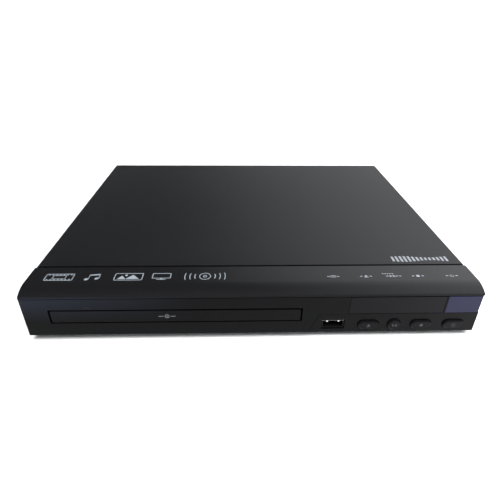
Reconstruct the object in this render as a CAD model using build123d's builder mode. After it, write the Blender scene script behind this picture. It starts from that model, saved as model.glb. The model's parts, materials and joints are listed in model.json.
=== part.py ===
"""Slim tray-loading disc player, built as the pieces that come apart on a bench.

Frame: +X to the right seen from the front, -Y towards the user, +Z up.
The origin is the bottom centre of the whole player, on the plane its feet stand on.
All sizes are in millimetres.
"""
import os
from math import acos, asin, atan2, cos, degrees, hypot, pi, radians, sin, tan

from build123d import *

# ---------------------------------------------------------------- case
lid_width = 270.0          # painted steel cover, side to side
lid_depth = 195.0          # cover, from the front seam to the back
bezel_overhang = 0.7       # front moulding beyond the cover at each side
bezel_depth = 27.0         # front moulding, from the seam to the fascia
case_height = 35.0         # floor to the top of the cover
foot_height = 3.7
foot_radius = 8.0
foot_taper = 1.0
foot_inset_x = 24.0
foot_inset_y = 22.0
lid_wall = 0.8
lid_bend = 1.2             # outer radius of the cover's folded edges
lid_lip = 7.0              # the cover's folded lip down the back
lid_screw_inset = 35.0
pan_wall = 0.8
pan_gap = 0.2              # pan inside the cover
pan_flange = 10.0          # height of the pan's side flanges
seam_gap = 0.4             # open joint between cover and front moulding
tongue_depth = 4.0         # ledge of the moulding under the cover's front edge
tongue_wall = 1.2
bezel_wall = 2.0
bezel_edge = 0.8           # rounding of the moulding's outer corners
touch_gap = 0.1            # between pieces that lie on each other
free_gap = 0.3             # between pieces that must not touch

# ---------------------------------------------------------------- front face
crease_drop = 3.7          # roll of the top edge, down to the crease
roll_run = 11.0            # roll of the top edge, front to back
crease_groove = 0.5        # fine shadow line under the crease
panel_recess = 0.5         # button panel behind the main fascia
panel_groove = 0.4         # shadow line along the panel's upper and slanted edges
panel_rise = 14.5          # top of the button panel above the moulding's lower edge
panel_slant = 7.2          # sideways run of the panel's slanted edge
slot_width = 149.0
slot_height = 9.9
slot_inset = 15.0          # tray slot from the moulding's left end
slot_rise = 14.3           # centre of the tray slot above the moulding's lower edge
slot_collar = 4.0          # depth of the collar behind the slot
collar_wall = 1.2
door_gap_x = 0.9
door_gap_top = 1.0
door_gap_foot = 0.5
door_setback = 0.1         # door's face behind the fascia
door_thick = 3.0
window_thick = 1.2
window_fit = 0.25
window_split = 0.6         # land between the two windows
glow_width = 42.0          # hole behind the window for the display
glow_height = 8.5
sensor_hole = 5.0
# places in the control zone, as shares of its width from the tray slot to the right end
panel_start = 0.0996       # upper end of the panel's slanted edge
usb_place = 0.1806
window_start = 0.2579      # smoked display window, left edge
sensor_start = 0.7998      # remote sensor window, left edge
button_shares = {"open_close": 0.3808, "play": 0.5289, "stop": 0.6834, "power": 0.8696}
oblong_share = 0.1173      # length of an oblong button

# ---------------------------------------------------------------- controls
button_rise = 6.0          # centre line of the buttons above the moulding's lower edge
button_proud = 1.0         # caps in front of the main fascia
button_gap = 0.45          # open ring around each cap
button_travel = 0.6
button_rounding = 0.7
oblong_height = 6.2
round_diameter = 7.8
flange_margin = 1.0        # keeper flange around the back of each cap
flange_thick = 1.2
stem_radius = 1.6
board_setback = 12.0       # front board behind the fascia
board_thick = 1.6
switch_side = 6.0
switch_depth = 3.5
plunger_radius = 1.7
plunger_reach = 1.0        # plunger in front of its switch
plunger_depth = 1.0        # plunger inside its switch
plunger_fit = 0.3
front_board_side = 3.4     # beyond the first button's cap
front_board_inset = 4.7    # from the right end
front_board_rise = 1.9     # above the moulding's lower edge
front_board_drop = 4.0     # below the cover's top
post_radius = 2.2
post_inset = 5.0           # posts inside the display window's ends
post_drop = 1.0            # and under its lower edge
usb_width = 13.1
usb_height = 5.7
usb_shell = 0.35
usb_depth = 14.0
usb_setback = 1.2
usb_hole_gap = 0.45
usb_tongue_width = 11.1
usb_tongue_thick = 1.8
usb_tongue_depth = 9.0
usb_contact_width = 1.2
usb_contact_pitch = 2.3
usb_board_margin = 4.0

# ---------------------------------------------------------------- tray and disc
disc_radius = 60.0
disc_clear = 1.0           # recess wider than the disc
small_disc_radius = 40.0
tray_width = 145.0
tray_length = 147.0
tray_bottom = 14.5         # under the tray's side runners
tray_top = 21.0
recess_floor = 18.6        # where a large disc lies
small_floor = 17.9         # where a small disc lies
belly = 17.0               # underside of the recess
runner_width = 10.5        # solid runner along each side of the tray
disc_setback = 70.0        # disc centre behind the fascia
notch_width = 34.0         # open middle of the tray, over the turntable
finger_width = 30.0
finger_depth = 8.0
tray_corner = 4.0

# ---------------------------------------------------------------- loader frame
frame_wall = 2.0
tray_side_gap = 0.5
tray_run_gap = 0.2         # tray over its ledges
lip_gap = 0.3              # tray under the frame's lips
frame_front = 6.0          # behind the fascia
frame_length = 172.0
frame_bottom = 4.8
frame_floor = 1.2
frame_top = 23.0
ledge_reach = 3.0
ledge_thick = 2.0
lip_reach = 2.5
rear_wall_top = 12.0
ear_length = 9.0
ear_reach = 9.0
ear_bottom = 8.0
ear_thick = 2.0
ear_front = 22.0           # front pair of fixing ears, behind the frame's front
ear_rear = 150.0
screw_radius = 1.25
screw_clear = 0.25
screw_head_radius = 2.7
screw_head_height = 1.6
hole_sides = 8             # fixing holes and shanks inside the case
standoff_sides = 6
boss_radius = 4.0

# ---------------------------------------------------------------- loading drive
gear_module = 1.0
pressure_angle = 20.0
backlash = 0.25
tooth_reach = 0.9          # tooth tip beyond the pitch line, in modules
root_clear = 0.35
drive_teeth = 22
pinion_teeth = 14
gear_centre_gap = 0.05
rack_start = 2             # rack teeth in front of the drive gear's axis
rack_teeth = 44
gear_row = 19.0            # gear axes behind the fascia
drive_bottom = 8.9
drive_top = 16.6           # just under the tray's belly
pinion_bottom = 8.8
pinion_top = 11.6
pulley_bottom = 6.4
pulley_radius = 9.0
pulley_groove = 1.2        # depth of the belt's V groove
motor_pulley_groove = 0.7
motor_pulley_radius = 3.0
belt_gap = 0.3
belt_thick = 1.0
spindle_radius = 1.5
running_fit = 0.06
motor_offset = 6.0         # loading motor, right of the tray's middle
motor_radius = 9.0
motor_bottom = 9.2
motor_height = 7.0
motor_shaft = 0.75
saddle_wall = 1.6

# ---------------------------------------------------------------- traverse
hinge_reach = 92.0         # tilt axis behind the disc's centre
pin_reach = 34.0           # lift pins in front of the disc's centre
tilt_angle = 1.93          # traverse drops this far to let the tray out
cradle_half = 48.0
cradle_ring = 10.0
cradle_front = 32.0
cradle_rear = 88.0
cradle_rear_ring = 5.0
cradle_bottom = 11.2
cradle_thick = 2.0
pivot_radius = 1.5
pivot_length = 4.0
lift_pin_radius = 1.0
lift_pin_x = 30.0
bearing_thick = 4.5
cam_travel = 16.0
cam_wall = 1.8
cam_gap = 1.0              # cam slider's wall in front of the cradle
cam_slot_gap = 0.25
cam_bottom = 6.2
cam_top = 14.4
cam_margin = 4.5
cam_flange = 1.4
damper_radius = 3.6
damper_height = 0.8
deck_thick = 1.0
deck_margin = 4.0
spindle_base_radius = 12.0
spindle_base_height = 3.4
spindle_shaft = 1.0
turntable_radius = 14.5
turntable_lift = 0.3       # turntable over the deck
seat_height = 18.8
pad_height = 0.6
pad_inner = 10.0
hub_radius = 7.4
hub_top_radius = 6.0
hub_top = 21.4
sled_half = 20.0
sled_front = 17.0          # sled's front edge behind the spindle
sled_length = 24.0
sled_bottom = 10.0
sled_top = 15.6
sled_travel = 34.0
lens_radius = 3.0
lens_reach = 6.0           # lens behind the sled's front edge
lens_height = 0.6
rod_radius = 1.5
rod_x = 16.0
rod_z = 12.0
rod_front = 13.0
rod_rear = 78.0
holder_half = 3.0
holder_length = 4.0
screw_x = 29.0             # feed screw, right of the spindle
feed_screw_radius = 1.5
feed_motor_radius = 4.0
feed_motor_length = 14.0
feed_motor_front = 3.0

# ---------------------------------------------------------------- clamp
bridge_half = 21.0
bridge_thick = 1.6
bridge_rib = 2.4
bridge_rib_wall = 1.2
clamp_radius = 13.0
clamp_flange_radius = 17.0
clamp_flange = 1.4
clamp_bottom = 22.0
magnet_radius = 8.0
magnet_height = 1.5

# ---------------------------------------------------------------- boards and sockets
board_bottom = 10.0
main_inset = 4.0           # main board inside the cover's right side
board_split = 2.2          # main board beside the loader's ears
main_length = 118.0
board_inset = 1.5          # boards in front of the rear wall
power_inset = 7.0          # power board inside the cover's left side
power_split = 4.0          # between the two boards
power_length = 36.0
board_hole_inset = 4.0
jack_reach = 8.5           # phono sockets behind the case
jack_radius = 4.15
jack_bore = 1.7
jack_wall = 0.6
jack_pitch = 14.0
jack_rise = 8.0            # socket axes over the main board
jack_share = 0.637         # middle phono socket across the main board
jack_count = 3
jack_block_depth = 10.0
jack_block_height = 13.0
hdmi_share = 0.2           # video socket across the main board
hdmi_width = 15.0
hdmi_height = 5.6
hdmi_depth = 11.5
hdmi_reach = 0.6           # lip behind the rear wall
hdmi_shell = 0.4
inlet_inset = 20.0         # mains inlet from the power board's left edge
inlet_width = 15.9
inlet_height = 8.6
inlet_wall = 2.0
inlet_recess = 11.0
inlet_body = 15.0
inlet_flange = 1.2
inlet_flange_margin = 3.5
inlet_pin_radius = 1.2
inlet_pin_pitch = 8.6
inlet_pin_length = 9.0
chip_places = ((0.374, 0.43, 22.0), (0.681, 0.42, 12.0), (0.33, 0.69, 10.0), (0.66, 0.67, 8.0))
chip_thick = 1.5
chip_aspect = 0.8
can_places = ((0.132, 0.25), (0.132, 0.35), (0.879, 0.23), (0.879, 0.53), (0.132, 0.72))
can_radius = 3.0
can_height = 8.0
transformer_share = 0.524  # places across the power board
reservoir_share = 0.329
filter_shares = (0.66, 0.72, 0.78)
sink_share = 0.427
core_side = 19.0
core_plate = 4.0
winding_height = 8.0
winding_step = 3.0
reservoir_radius = 6.5
reservoir_height = 17.0
filter_radius = 4.0
filter_height = 12.0
sink_wall = 3.0
sink_width = 22.0
sink_fin = 1.6
sink_height = 16.0
vent_count = 9
vent_pitch = 6.0
vent_width = 2.4
vent_height = 12.0
side_vent_count = 12
side_vent_height = 10.0
ribbon_width = 16.0
ribbon_thick = 0.4
ribbon_rise = 9.0          # front end over the main board
ribbon_lead = 15.0
ribbon_lap = 8.0           # rear end on the main board
ribbon_bend = 8.0
ribbon_share = 0.33
screw_length = 5.0

# ---------------------------------------------------------------- derived places
bezel_width = lid_width + 2 * bezel_overhang
overall_depth = button_proud + bezel_depth + lid_depth + jack_reach
fascia_y = button_proud - overall_depth / 2
seam_y = fascia_y + bezel_depth
back_y = seam_y + lid_depth
case_bottom = foot_height
pan_floor = case_bottom + pan_wall
bezel_bottom = case_bottom
fascia_back_y = fascia_y + bezel_wall
crease_z = case_height - crease_drop
panel_z = bezel_bottom + panel_rise
slot_z = bezel_bottom + slot_rise
button_z = bezel_bottom + button_rise
slot_x = slot_inset + slot_width / 2 - bezel_width / 2
zone_left = slot_x + slot_width / 2
zone_width = bezel_width / 2 - zone_left
panel_left_top = zone_left + panel_start * zone_width
panel_left_foot = panel_left_top - panel_slant
usb_x = zone_left + usb_place * zone_width
window_left = zone_left + window_start * zone_width
sensor_left = zone_left + sensor_start * zone_width
window_right = sensor_left - window_split
button_places = {key: zone_left + share * zone_width for key, share in button_shares.items()}
oblong_length = oblong_share * zone_width
front_board_left = button_places["open_close"] - oblong_length / 2 - front_board_side
front_board_right = bezel_width / 2 - front_board_inset
front_board_bottom = bezel_bottom + front_board_rise
front_board_top = case_height - front_board_drop
roll_radius = (roll_run**2 + crease_drop**2) / (2 * crease_drop)
roll_angle = degrees(asin(roll_run / roll_radius))
wall_back_y = back_y - lid_wall - pan_gap          # outer face of the rear wall
wall_front_y = wall_back_y - pan_wall              # inner face of the rear wall
pan_width = lid_width - 2 * (lid_wall + pan_gap)
wall_top = case_height - lid_wall - pan_gap
disc_x = slot_x
disc_y = fascia_y + disc_setback
board_top = board_bottom + board_thick
frame_half = tray_width / 2 + tray_side_gap + frame_wall
main_left = disc_x + frame_half + ear_reach + board_split
main_right = lid_width / 2 - main_inset
main_width = main_right - main_left
power_left = power_inset - lid_width / 2
power_right = main_left - power_split
power_width = power_right - power_left
jack_middle = main_left + jack_share * main_width
hdmi_x = main_left + hdmi_share * main_width
inlet_x = power_left + inlet_inset


def level(z):
    """Horizontal plane at height z, on the player's own axes."""
    return Plane.XY.offset(z)


def disc_level(z):
    """Horizontal plane at height z, centred on the disc."""
    return Plane(origin=(disc_x, disc_y, z))


def front(x, z, depth=0.0):
    """Upright plane facing the user, a given depth behind the fascia."""
    return Plane(origin=(x, fascia_y + depth, z), x_dir=(1, 0, 0), z_dir=(0, -1, 0))


def upright(x, y, z):
    """Upright plane facing the back of the player."""
    return Plane(origin=(x, y, z), x_dir=(-1, 0, 0), z_dir=(0, 1, 0))


def save(name, built):
    """Label one finished sub-part and write it to its own file."""
    built.part.label = name
    export_step(built.part, f"parts/{name}.step")


def tooth_half_angle(radius, teeth):
    """Half the angle that an involute tooth fills at a given radius."""
    pitch_radius = gear_module * teeth / 2
    base_radius = pitch_radius * cos(radians(pressure_angle))

    def involute(r):
        """Involute angle where the tooth flank crosses radius r."""
        turn = acos(base_radius / max(r, base_radius))
        return tan(turn) - turn

    at_pitch = (pi * gear_module / 2 - backlash) / (2 * pitch_radius)
    return at_pitch + involute(pitch_radius) - involute(radius)


def gear_face(teeth, phase):
    """Gear outline in the current sketch: a root disc and its teeth, phase in degrees."""
    pitch_radius = gear_module * teeth / 2
    root = pitch_radius - gear_module - root_clear
    tip = pitch_radius + gear_module * tooth_reach
    Circle(root)
    radii = (root - gear_module / 2, root, pitch_radius, (pitch_radius + tip) / 2, tip)
    flank = []
    for radius in radii:
        half = tooth_half_angle(max(radius, root), teeth)
        flank.append((radius * cos(half), radius * sin(half)))
    with PolarLocations(0, teeth, start_angle=phase):
        Polygon(*flank, *[(x, -y) for x, y in reversed(flank)], align=None)


def fixing_hole():
    """Hole for one fixing screw, in the current sketch."""
    RegularPolygon(screw_radius + screw_clear, hole_sides, major_radius=False)


os.makedirs("parts", exist_ok=True)

# ================================================================ chassis pan
pan_front_y = fascia_back_y + touch_gap
pan_step_y = seam_y + touch_gap
ear_x = frame_half + ear_reach / 2
ear_y = [fascia_y + frame_front + ear_front, fascia_y + frame_front + ear_rear]
ear_places = [(disc_x + side * ear_x, y) for side in (-1, 1) for y in ear_y]
main_front_y = wall_front_y - board_inset - main_length
power_front_y = wall_front_y - board_inset - power_length
board_back_y = wall_front_y - board_inset
main_holes = [
    (x, y)
    for x in (main_left + board_hole_inset, main_right - board_hole_inset)
    for y in (main_front_y + board_hole_inset, board_back_y - jack_block_depth - board_hole_inset)
]
power_holes = [
    (x, y)
    for x in (power_left + board_hole_inset, power_right - board_hole_inset)
    for y in (power_front_y + board_hole_inset, board_back_y - board_hole_inset)
]
jack_places = [jack_middle + jack_pitch * (index - (jack_count - 1) / 2) for index in range(jack_count)]
jack_z = board_top + jack_rise
hdmi_z = board_top + hdmi_height / 2
inlet_z = board_top + inlet_height / 2 + inlet_wall
usb_board_top = button_z - usb_height / 2
usb_board_bottom = usb_board_top - board_thick
usb_board_y = fascia_y + usb_setback + usb_depth / 2 + usb_board_margin
lid_screw_x = (lid_screw_inset - lid_width / 2, 0.0, lid_width / 2 - lid_screw_inset)
lid_screw_z = case_height - lid_lip / 2 - lid_wall / 2

with BuildPart() as chassis_pan:
    with BuildSketch(level(case_bottom)):
        with Locations((0, (pan_step_y + wall_back_y) / 2)):
            Rectangle(pan_width, wall_back_y - pan_step_y)
        with Locations((0, (pan_front_y + pan_step_y) / 2)):
            Rectangle(bezel_width - 2 * (bezel_wall + touch_gap), pan_step_y - pan_front_y)
    extrude(amount=pan_wall)
    with BuildSketch(upright(0, wall_front_y, (case_bottom + wall_top) / 2)):
        Rectangle(pan_width, wall_top - case_bottom)
    extrude(amount=pan_wall)
    flange_y = (seam_y + wall_back_y) / 2
    for side in (-1, 1):
        with BuildSketch(level(case_bottom)):
            with Locations((side * (pan_width - pan_wall) / 2, flange_y)):
                Rectangle(pan_wall, wall_back_y - seam_y)
        extrude(amount=pan_flange)
    with BuildSketch(level(pan_floor)):
        with Locations(*main_holes, *power_holes):
            RegularPolygon(boss_radius, standoff_sides)
    extrude(amount=board_bottom - pan_floor)
    with BuildSketch(level(pan_floor)):
        with Locations(*ear_places):
            RegularPolygon(boss_radius, standoff_sides)
    extrude(amount=ear_bottom - pan_floor)
    with BuildSketch(level(pan_floor)):
        with Locations((usb_x, usb_board_y)):
            Rectangle(usb_width, 2 * boss_radius)
    extrude(amount=usb_board_bottom - pan_floor)
    with BuildSketch(level(case_bottom)):
        with Locations(*main_holes, *power_holes, *ear_places):
            fixing_hole()
    extrude(amount=board_bottom, mode=Mode.SUBTRACT)
    with BuildSketch(upright(0, wall_front_y, 0)):
        with Locations(*[(-x, jack_z) for x in jack_places]):
            Circle(jack_radius + free_gap)
        with Locations((-hdmi_x, hdmi_z)):
            Rectangle(hdmi_width + free_gap, hdmi_height + free_gap)
        with Locations((-inlet_x, inlet_z)):
            Rectangle(inlet_width + 2 * inlet_wall + free_gap, inlet_height + 2 * inlet_wall + free_gap)
        with Locations(*[(-x, lid_screw_z) for x in lid_screw_x]):
            fixing_hole()
        with Locations((jack_pitch, inlet_z)):
            with GridLocations(vent_pitch, 0, vent_count, 1):
                Rectangle(vent_width, vent_height)
    extrude(amount=pan_wall, mode=Mode.SUBTRACT)

# ================================================================ top cover
cover_front_y = seam_y + seam_gap
cover_height = case_height - case_bottom
with BuildPart() as top_cover:
    with BuildSketch(upright(0, cover_front_y, case_bottom + cover_height / 2)):
        Rectangle(lid_width, cover_height)
    extrude(amount=back_y - cover_front_y)
    fillet(top_cover.edges().filter_by(Axis.Y).group_by(Axis.Z)[-1], lid_bend)
    open_faces = [
        top_cover.faces().sort_by(Axis.Z)[0],
        top_cover.faces().sort_by(Axis.Y)[0],
    ]
    offset(amount=-lid_wall, openings=open_faces)
    lip_cut = cover_height - lid_lip
    with BuildSketch(upright(0, back_y - lid_wall, case_bottom + lip_cut / 2)):
        Rectangle(lid_width - 2 * lid_wall, lip_cut)
    extrude(amount=lid_wall, mode=Mode.SUBTRACT)
    with BuildSketch(upright(0, back_y - lid_wall, lid_screw_z)):
        with Locations(*[(-x, 0) for x in lid_screw_x]):
            fixing_hole()
    extrude(amount=lid_wall, mode=Mode.SUBTRACT)
    with BuildSketch(Plane.YZ):
        with Locations(((seam_y + back_y) / 2, case_bottom + cover_height / 2)):
            with GridLocations(vent_pitch, 0, side_vent_count, 1):
                Rectangle(vent_width, side_vent_height)
    extrude(amount=lid_width, both=True, mode=Mode.SUBTRACT)

# ================================================================ front moulding
lens_top = crease_z - crease_groove - 2 * touch_gap
lens_height_z = lens_top - panel_z
lens_mid_z = (lens_top + panel_z) / 2
button_sizes = {
    "open_close": (oblong_length, oblong_height),
    "play": (round_diameter, round_diameter),
    "stop": (oblong_length, oblong_height),
    "power": (oblong_length, oblong_height),
}


def button_face(size, margin):
    """Round or oblong outline of a button, grown by a margin."""
    width, height = size
    if width > height:
        SlotOverall(width + 2 * margin, height + 2 * margin)
    else:
        Circle(width / 2 + margin)


post_places = [(x, panel_z - post_drop) for x in (window_left + post_inset, window_right - post_inset)]
with BuildPart() as front_bezel:
    with BuildSketch(Plane.YZ.offset(-bezel_width / 2)):
        with BuildLine():
            roll = CenterArc(
                (fascia_y + roll_run, case_height - roll_radius), roll_radius, 90, roll_angle
            )
            Polyline(
                roll @ 1, (fascia_y, bezel_bottom), (seam_y, bezel_bottom),
                (seam_y, case_height), roll @ 0,
            )
        make_face()
    extrude(amount=bezel_width)
    offset(amount=-bezel_wall, openings=front_bezel.faces().sort_by(Axis.Y)[-1])
    # rounded lower edge and ends
    foot_edge = front_bezel.edges().filter_by(Axis.X).group_by(Axis.Z)[0].sort_by(Axis.Y)[0]
    end_edges = front_bezel.edges().filter_by(Axis.Z).group_by(Axis.Y)[0]
    fillet([foot_edge, *end_edges], bezel_edge)
    # open underside, closed by the pan
    with BuildSketch(level(bezel_bottom)):
        with Locations((0, (fascia_back_y + seam_y) / 2)):
            Rectangle(bezel_width - 2 * bezel_wall, seam_y - fascia_back_y)
    extrude(amount=bezel_wall, mode=Mode.SUBTRACT)
    # ledge that the cover's front edge hides
    tongue_top = case_height - lid_wall - free_gap
    with BuildSketch(Plane.YZ.offset(-bezel_width / 2 + 2 * bezel_wall)):
        with BuildLine():
            Polyline(
                (seam_y - bezel_wall, case_height - bezel_wall),
                (seam_y - bezel_wall, tongue_top - tongue_wall),
                (seam_y + tongue_depth, tongue_top - tongue_wall),
                (seam_y + tongue_depth, tongue_top),
                (seam_y, tongue_top),
                (seam_y, case_height - bezel_wall / 2),
                (seam_y - bezel_wall, case_height - bezel_wall / 2),
                close=True,
            )
        make_face()
    extrude(amount=bezel_width - 4 * bezel_wall)
    # collar of the tray slot
    with BuildSketch(front(slot_x, slot_z, bezel_wall)):
        Rectangle(slot_width + 2 * collar_wall, slot_height + 2 * collar_wall)
    extrude(amount=-slot_collar)
    with BuildSketch(front(slot_x, slot_z)):
        Rectangle(slot_width, slot_height)
    extrude(amount=-(bezel_wall + slot_collar), mode=Mode.SUBTRACT)
    # posts that carry the front board
    with BuildSketch(front(0, 0, bezel_wall)):
        with Locations(*post_places):
            Circle(post_radius)
    extrude(amount=-(board_setback - bezel_wall))
    # fine line under the crease
    with BuildSketch(front(0, crease_z - crease_groove)):
        Rectangle(bezel_width, crease_groove)
    extrude(amount=-crease_groove, mode=Mode.SUBTRACT)
    # button panel, set back behind a slanted edge
    with BuildSketch(front(0, 0)):
        with BuildLine():
            Polyline(
                (panel_left_top, panel_z), (bezel_width, panel_z), (bezel_width, 0),
                (panel_left_foot, 0), (panel_left_foot, bezel_bottom), close=True,
            )
        make_face()
    extrude(amount=-panel_recess, mode=Mode.SUBTRACT)
    with BuildSketch(front(0, 0)):
        Polygon(
            (panel_left_foot, bezel_bottom), (panel_left_top, panel_z), (bezel_width, panel_z),
            (bezel_width, panel_z - panel_groove), (panel_left_top + panel_groove, panel_z - panel_groove),
            (panel_left_foot + panel_groove, bezel_bottom), align=None,
        )
    extrude(amount=-(panel_recess + panel_groove), mode=Mode.SUBTRACT)
    # seats of the two windows
    with BuildSketch(front(0, lens_mid_z)):
        with Locations(((window_left + window_right) / 2, 0)):
            Rectangle(window_right - window_left, lens_height_z)
        with Locations(((sensor_left + bezel_width / 2) / 2 + bezel_edge, 0)):
            Rectangle(bezel_width / 2 - sensor_left + 2 * bezel_edge, lens_height_z)
    extrude(amount=-window_thick, mode=Mode.SUBTRACT)
    with BuildSketch(front(0, lens_mid_z)):
        with Locations(((window_left + window_right) / 2, 0)):
            Rectangle(glow_width, glow_height)
        with Locations(((sensor_left + bezel_width / 2) / 2 - bezel_wall, 0)):
            Circle(sensor_hole / 2)
    extrude(amount=-bezel_wall, mode=Mode.SUBTRACT)
    # holes for the buttons and the front socket
    for key, x in button_places.items():
        with BuildSketch(front(x, button_z)):
            button_face(button_sizes[key], button_gap)
        extrude(amount=-bezel_wall, mode=Mode.SUBTRACT)
    with BuildSketch(front(usb_x, button_z)):
        Rectangle(usb_width + 2 * usb_hole_gap, usb_height + 2 * usb_hole_gap)
    extrude(amount=-bezel_wall, mode=Mode.SUBTRACT)

with BuildPart() as display_window:
    with BuildSketch(front((window_left + window_right) / 2, lens_mid_z)):
        Rectangle(window_right - window_left - 2 * window_fit, lens_height_z - 2 * window_fit)
    extrude(amount=-(window_thick - touch_gap))

with BuildPart() as sensor_window:
    sensor_right = bezel_width / 2 - bezel_edge
    with BuildSketch(front((sensor_left + sensor_right) / 2, lens_mid_z)):
        Rectangle(sensor_right - sensor_left - 2 * window_fit, lens_height_z - 2 * window_fit)
    extrude(amount=-(window_thick - touch_gap))

# ================================================================ buttons
flange_front = bezel_wall + free_gap
switch_front = board_setback - switch_depth
plunger_front = switch_front - plunger_reach


def make_button(key):
    """Cap, keeper flange and stem of one button, in one piece."""
    with BuildPart() as button:
        plane = front(button_places[key], button_z, -button_proud)
        with BuildSketch(plane):
            button_face(button_sizes[key], 0)
        extrude(amount=-(button_proud + flange_front))
        chamfer(button.faces().sort_by(Axis.Y)[0].edges(), button_rounding)
        with BuildSketch(plane.offset(-(button_proud + flange_front))):
            button_face(button_sizes[key], flange_margin)
        extrude(amount=-flange_thick)
        with BuildSketch(plane.offset(-(button_proud + flange_front))):
            Circle(stem_radius)
        extrude(amount=-(plunger_front - flange_front))
    return button


def make_plunger(key):
    """Plunger of one tact switch, which its button pushes."""
    with BuildPart() as plunger:
        with BuildSketch(front(button_places[key], button_z, plunger_front)):
            Circle(plunger_radius)
        extrude(amount=-(plunger_reach + plunger_depth))
    return plunger


with BuildPart() as tact_switches:
    for x in button_places.values():
        with BuildSketch(front(x, button_z, switch_front)):
            Rectangle(switch_side, switch_side)
            Circle(plunger_radius + plunger_fit, mode=Mode.SUBTRACT)
        extrude(amount=-(plunger_depth + button_travel + plunger_fit))
        with BuildSketch(front(x, button_z, board_setback)):
            Rectangle(switch_side, switch_side)
        extrude(amount=switch_depth - plunger_depth - button_travel - plunger_fit)

front_board_mid = (front_board_left + front_board_right) / 2
with BuildPart() as front_board:
    with BuildSketch(front(front_board_mid, (front_board_bottom + front_board_top) / 2, board_setback)):
        Rectangle(front_board_right - front_board_left, front_board_top - front_board_bottom)
    extrude(amount=-board_thick)

with BuildPart() as display_module:
    with BuildSketch(front((window_left + window_right) / 2, lens_mid_z, board_setback)):
        Rectangle(glow_width - 2 * free_gap, glow_height)
    extrude(amount=board_setback - bezel_wall - free_gap)

with BuildPart() as sensor_eye:
    with BuildSketch(front((sensor_left + bezel_width / 2) / 2 - bezel_wall, lens_mid_z, board_setback)):
        Rectangle(sensor_hole, sensor_hole + 1.0)
    extrude(amount=board_setback - bezel_wall - 2 * free_gap - sensor_hole / 2)
    with BuildSketch(front((sensor_left + bezel_width / 2) / 2 - bezel_wall, lens_mid_z,
                           bezel_wall + 2 * free_gap + sensor_hole / 2)):
        Circle(sensor_hole / 2 - free_gap)
    extrude(amount=sensor_hole / 2)

# ================================================================ front socket
with BuildPart() as usb_socket:
    with BuildSketch(front(usb_x, button_z, usb_setback)):
        Rectangle(usb_width, usb_height)
        Rectangle(usb_width - 2 * usb_shell, usb_height - 2 * usb_shell, mode=Mode.SUBTRACT)
    extrude(amount=-usb_depth)
    with BuildSketch(front(usb_x, button_z, usb_setback + usb_depth)):
        Rectangle(usb_width, usb_height)
    extrude(amount=usb_shell)

with BuildPart() as usb_tongue:
    tongue_z = button_z + usb_height / 2 - usb_shell - usb_tongue_thick / 2 - touch_gap
    with BuildSketch(front(usb_x, tongue_z, usb_setback + usb_depth - usb_shell)):
        Rectangle(usb_tongue_width, usb_tongue_thick)
    extrude(amount=usb_tongue_depth)
    with BuildSketch(front(usb_x, tongue_z - usb_tongue_thick / 2, usb_setback + usb_depth - usb_shell)):
        with GridLocations(usb_contact_pitch, 0, 4, 1):
            Rectangle(usb_contact_width, 2 * usb_shell)
    extrude(amount=usb_tongue_depth - usb_contact_width)

with BuildPart() as usb_board:
    with BuildSketch(level(usb_board_bottom)):
        with Locations((usb_x, usb_board_y)):
            Rectangle(usb_width + 2 * usb_board_margin, usb_depth)
    extrude(amount=board_thick)

# ================================================================ tray and its door
door_width = slot_width - 2 * door_gap_x
door_height = slot_height - door_gap_top - door_gap_foot
door_back = door_setback + door_thick
tray_front_y = fascia_y + door_back
recess_radius = disc_radius + disc_clear
gear_y = fascia_y + gear_row
rack_x = disc_x + tray_width / 2 - runner_width - gear_module - root_clear
drive_x = rack_x - gear_module * drive_teeth / 2 - gear_centre_gap
pinion_x = drive_x - gear_module * (drive_teeth + pinion_teeth) / 2 - gear_centre_gap

with BuildPart() as tray_door:
    with BuildSketch(front(slot_x, slot_z + (door_gap_foot - door_gap_top) / 2, door_setback)):
        RectangleRounded(door_width, door_height, button_rounding)
    extrude(amount=-door_thick)
    fillet(tray_door.faces().sort_by(Axis.Y)[0].edges(), button_gap)

with BuildPart() as disc_tray:
    tray_mid_y = tray_front_y + tray_length / 2
    with BuildSketch(level(tray_bottom)):
        with Locations((disc_x, tray_mid_y)):
            Rectangle(tray_width, tray_length)
    extrude(amount=tray_top - tray_bottom)
    fillet(disc_tray.edges().filter_by(Axis.Z).group_by(Axis.Y)[-1], tray_corner)
    # hollow underside between the runners
    with BuildSketch(level(tray_bottom)):
        with Locations((disc_x, tray_mid_y + frame_wall)):
            Rectangle(tray_width - 2 * runner_width, tray_length)
    extrude(amount=belly - tray_bottom, mode=Mode.SUBTRACT)
    # stepped recess for large and small discs
    with BuildSketch(disc_level(recess_floor)):
        Circle(recess_radius)
        with Locations((0, -recess_radius)):
            Rectangle(finger_width, finger_depth)
    extrude(amount=tray_top, mode=Mode.SUBTRACT)
    with BuildSketch(disc_level(small_floor)):
        Circle(small_disc_radius + disc_clear)
    extrude(amount=tray_top, mode=Mode.SUBTRACT)
    # open middle that runs out at the back
    with BuildSketch(disc_level(tray_bottom)):
        Circle(notch_width / 2)
        with Locations((0, tray_length / 2)):
            Rectangle(notch_width, tray_length)
    extrude(amount=tray_top, mode=Mode.SUBTRACT)
    # rack along the inner face of the right runner
    pitch = pi * gear_module
    flank = tan(radians(pressure_angle))
    half_pitch = (pitch / 2 - backlash) / 2
    rack_tip = gear_module * tooth_reach
    rack_root = gear_module + root_clear
    rack_first_y = gear_y - (rack_start + 0.5) * pitch
    with BuildSketch(level(tray_bottom)):
        with Locations(*[(rack_x, rack_first_y + index * pitch) for index in range(rack_teeth)]):
            Polygon(
                (-rack_tip, -half_pitch + flank * rack_tip),
                (rack_root, -half_pitch - flank * rack_root),
                (rack_root, half_pitch + flank * rack_root),
                (-rack_tip, half_pitch - flank * rack_tip),
                align=None,
            )
    extrude(amount=belly - tray_bottom)

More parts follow.
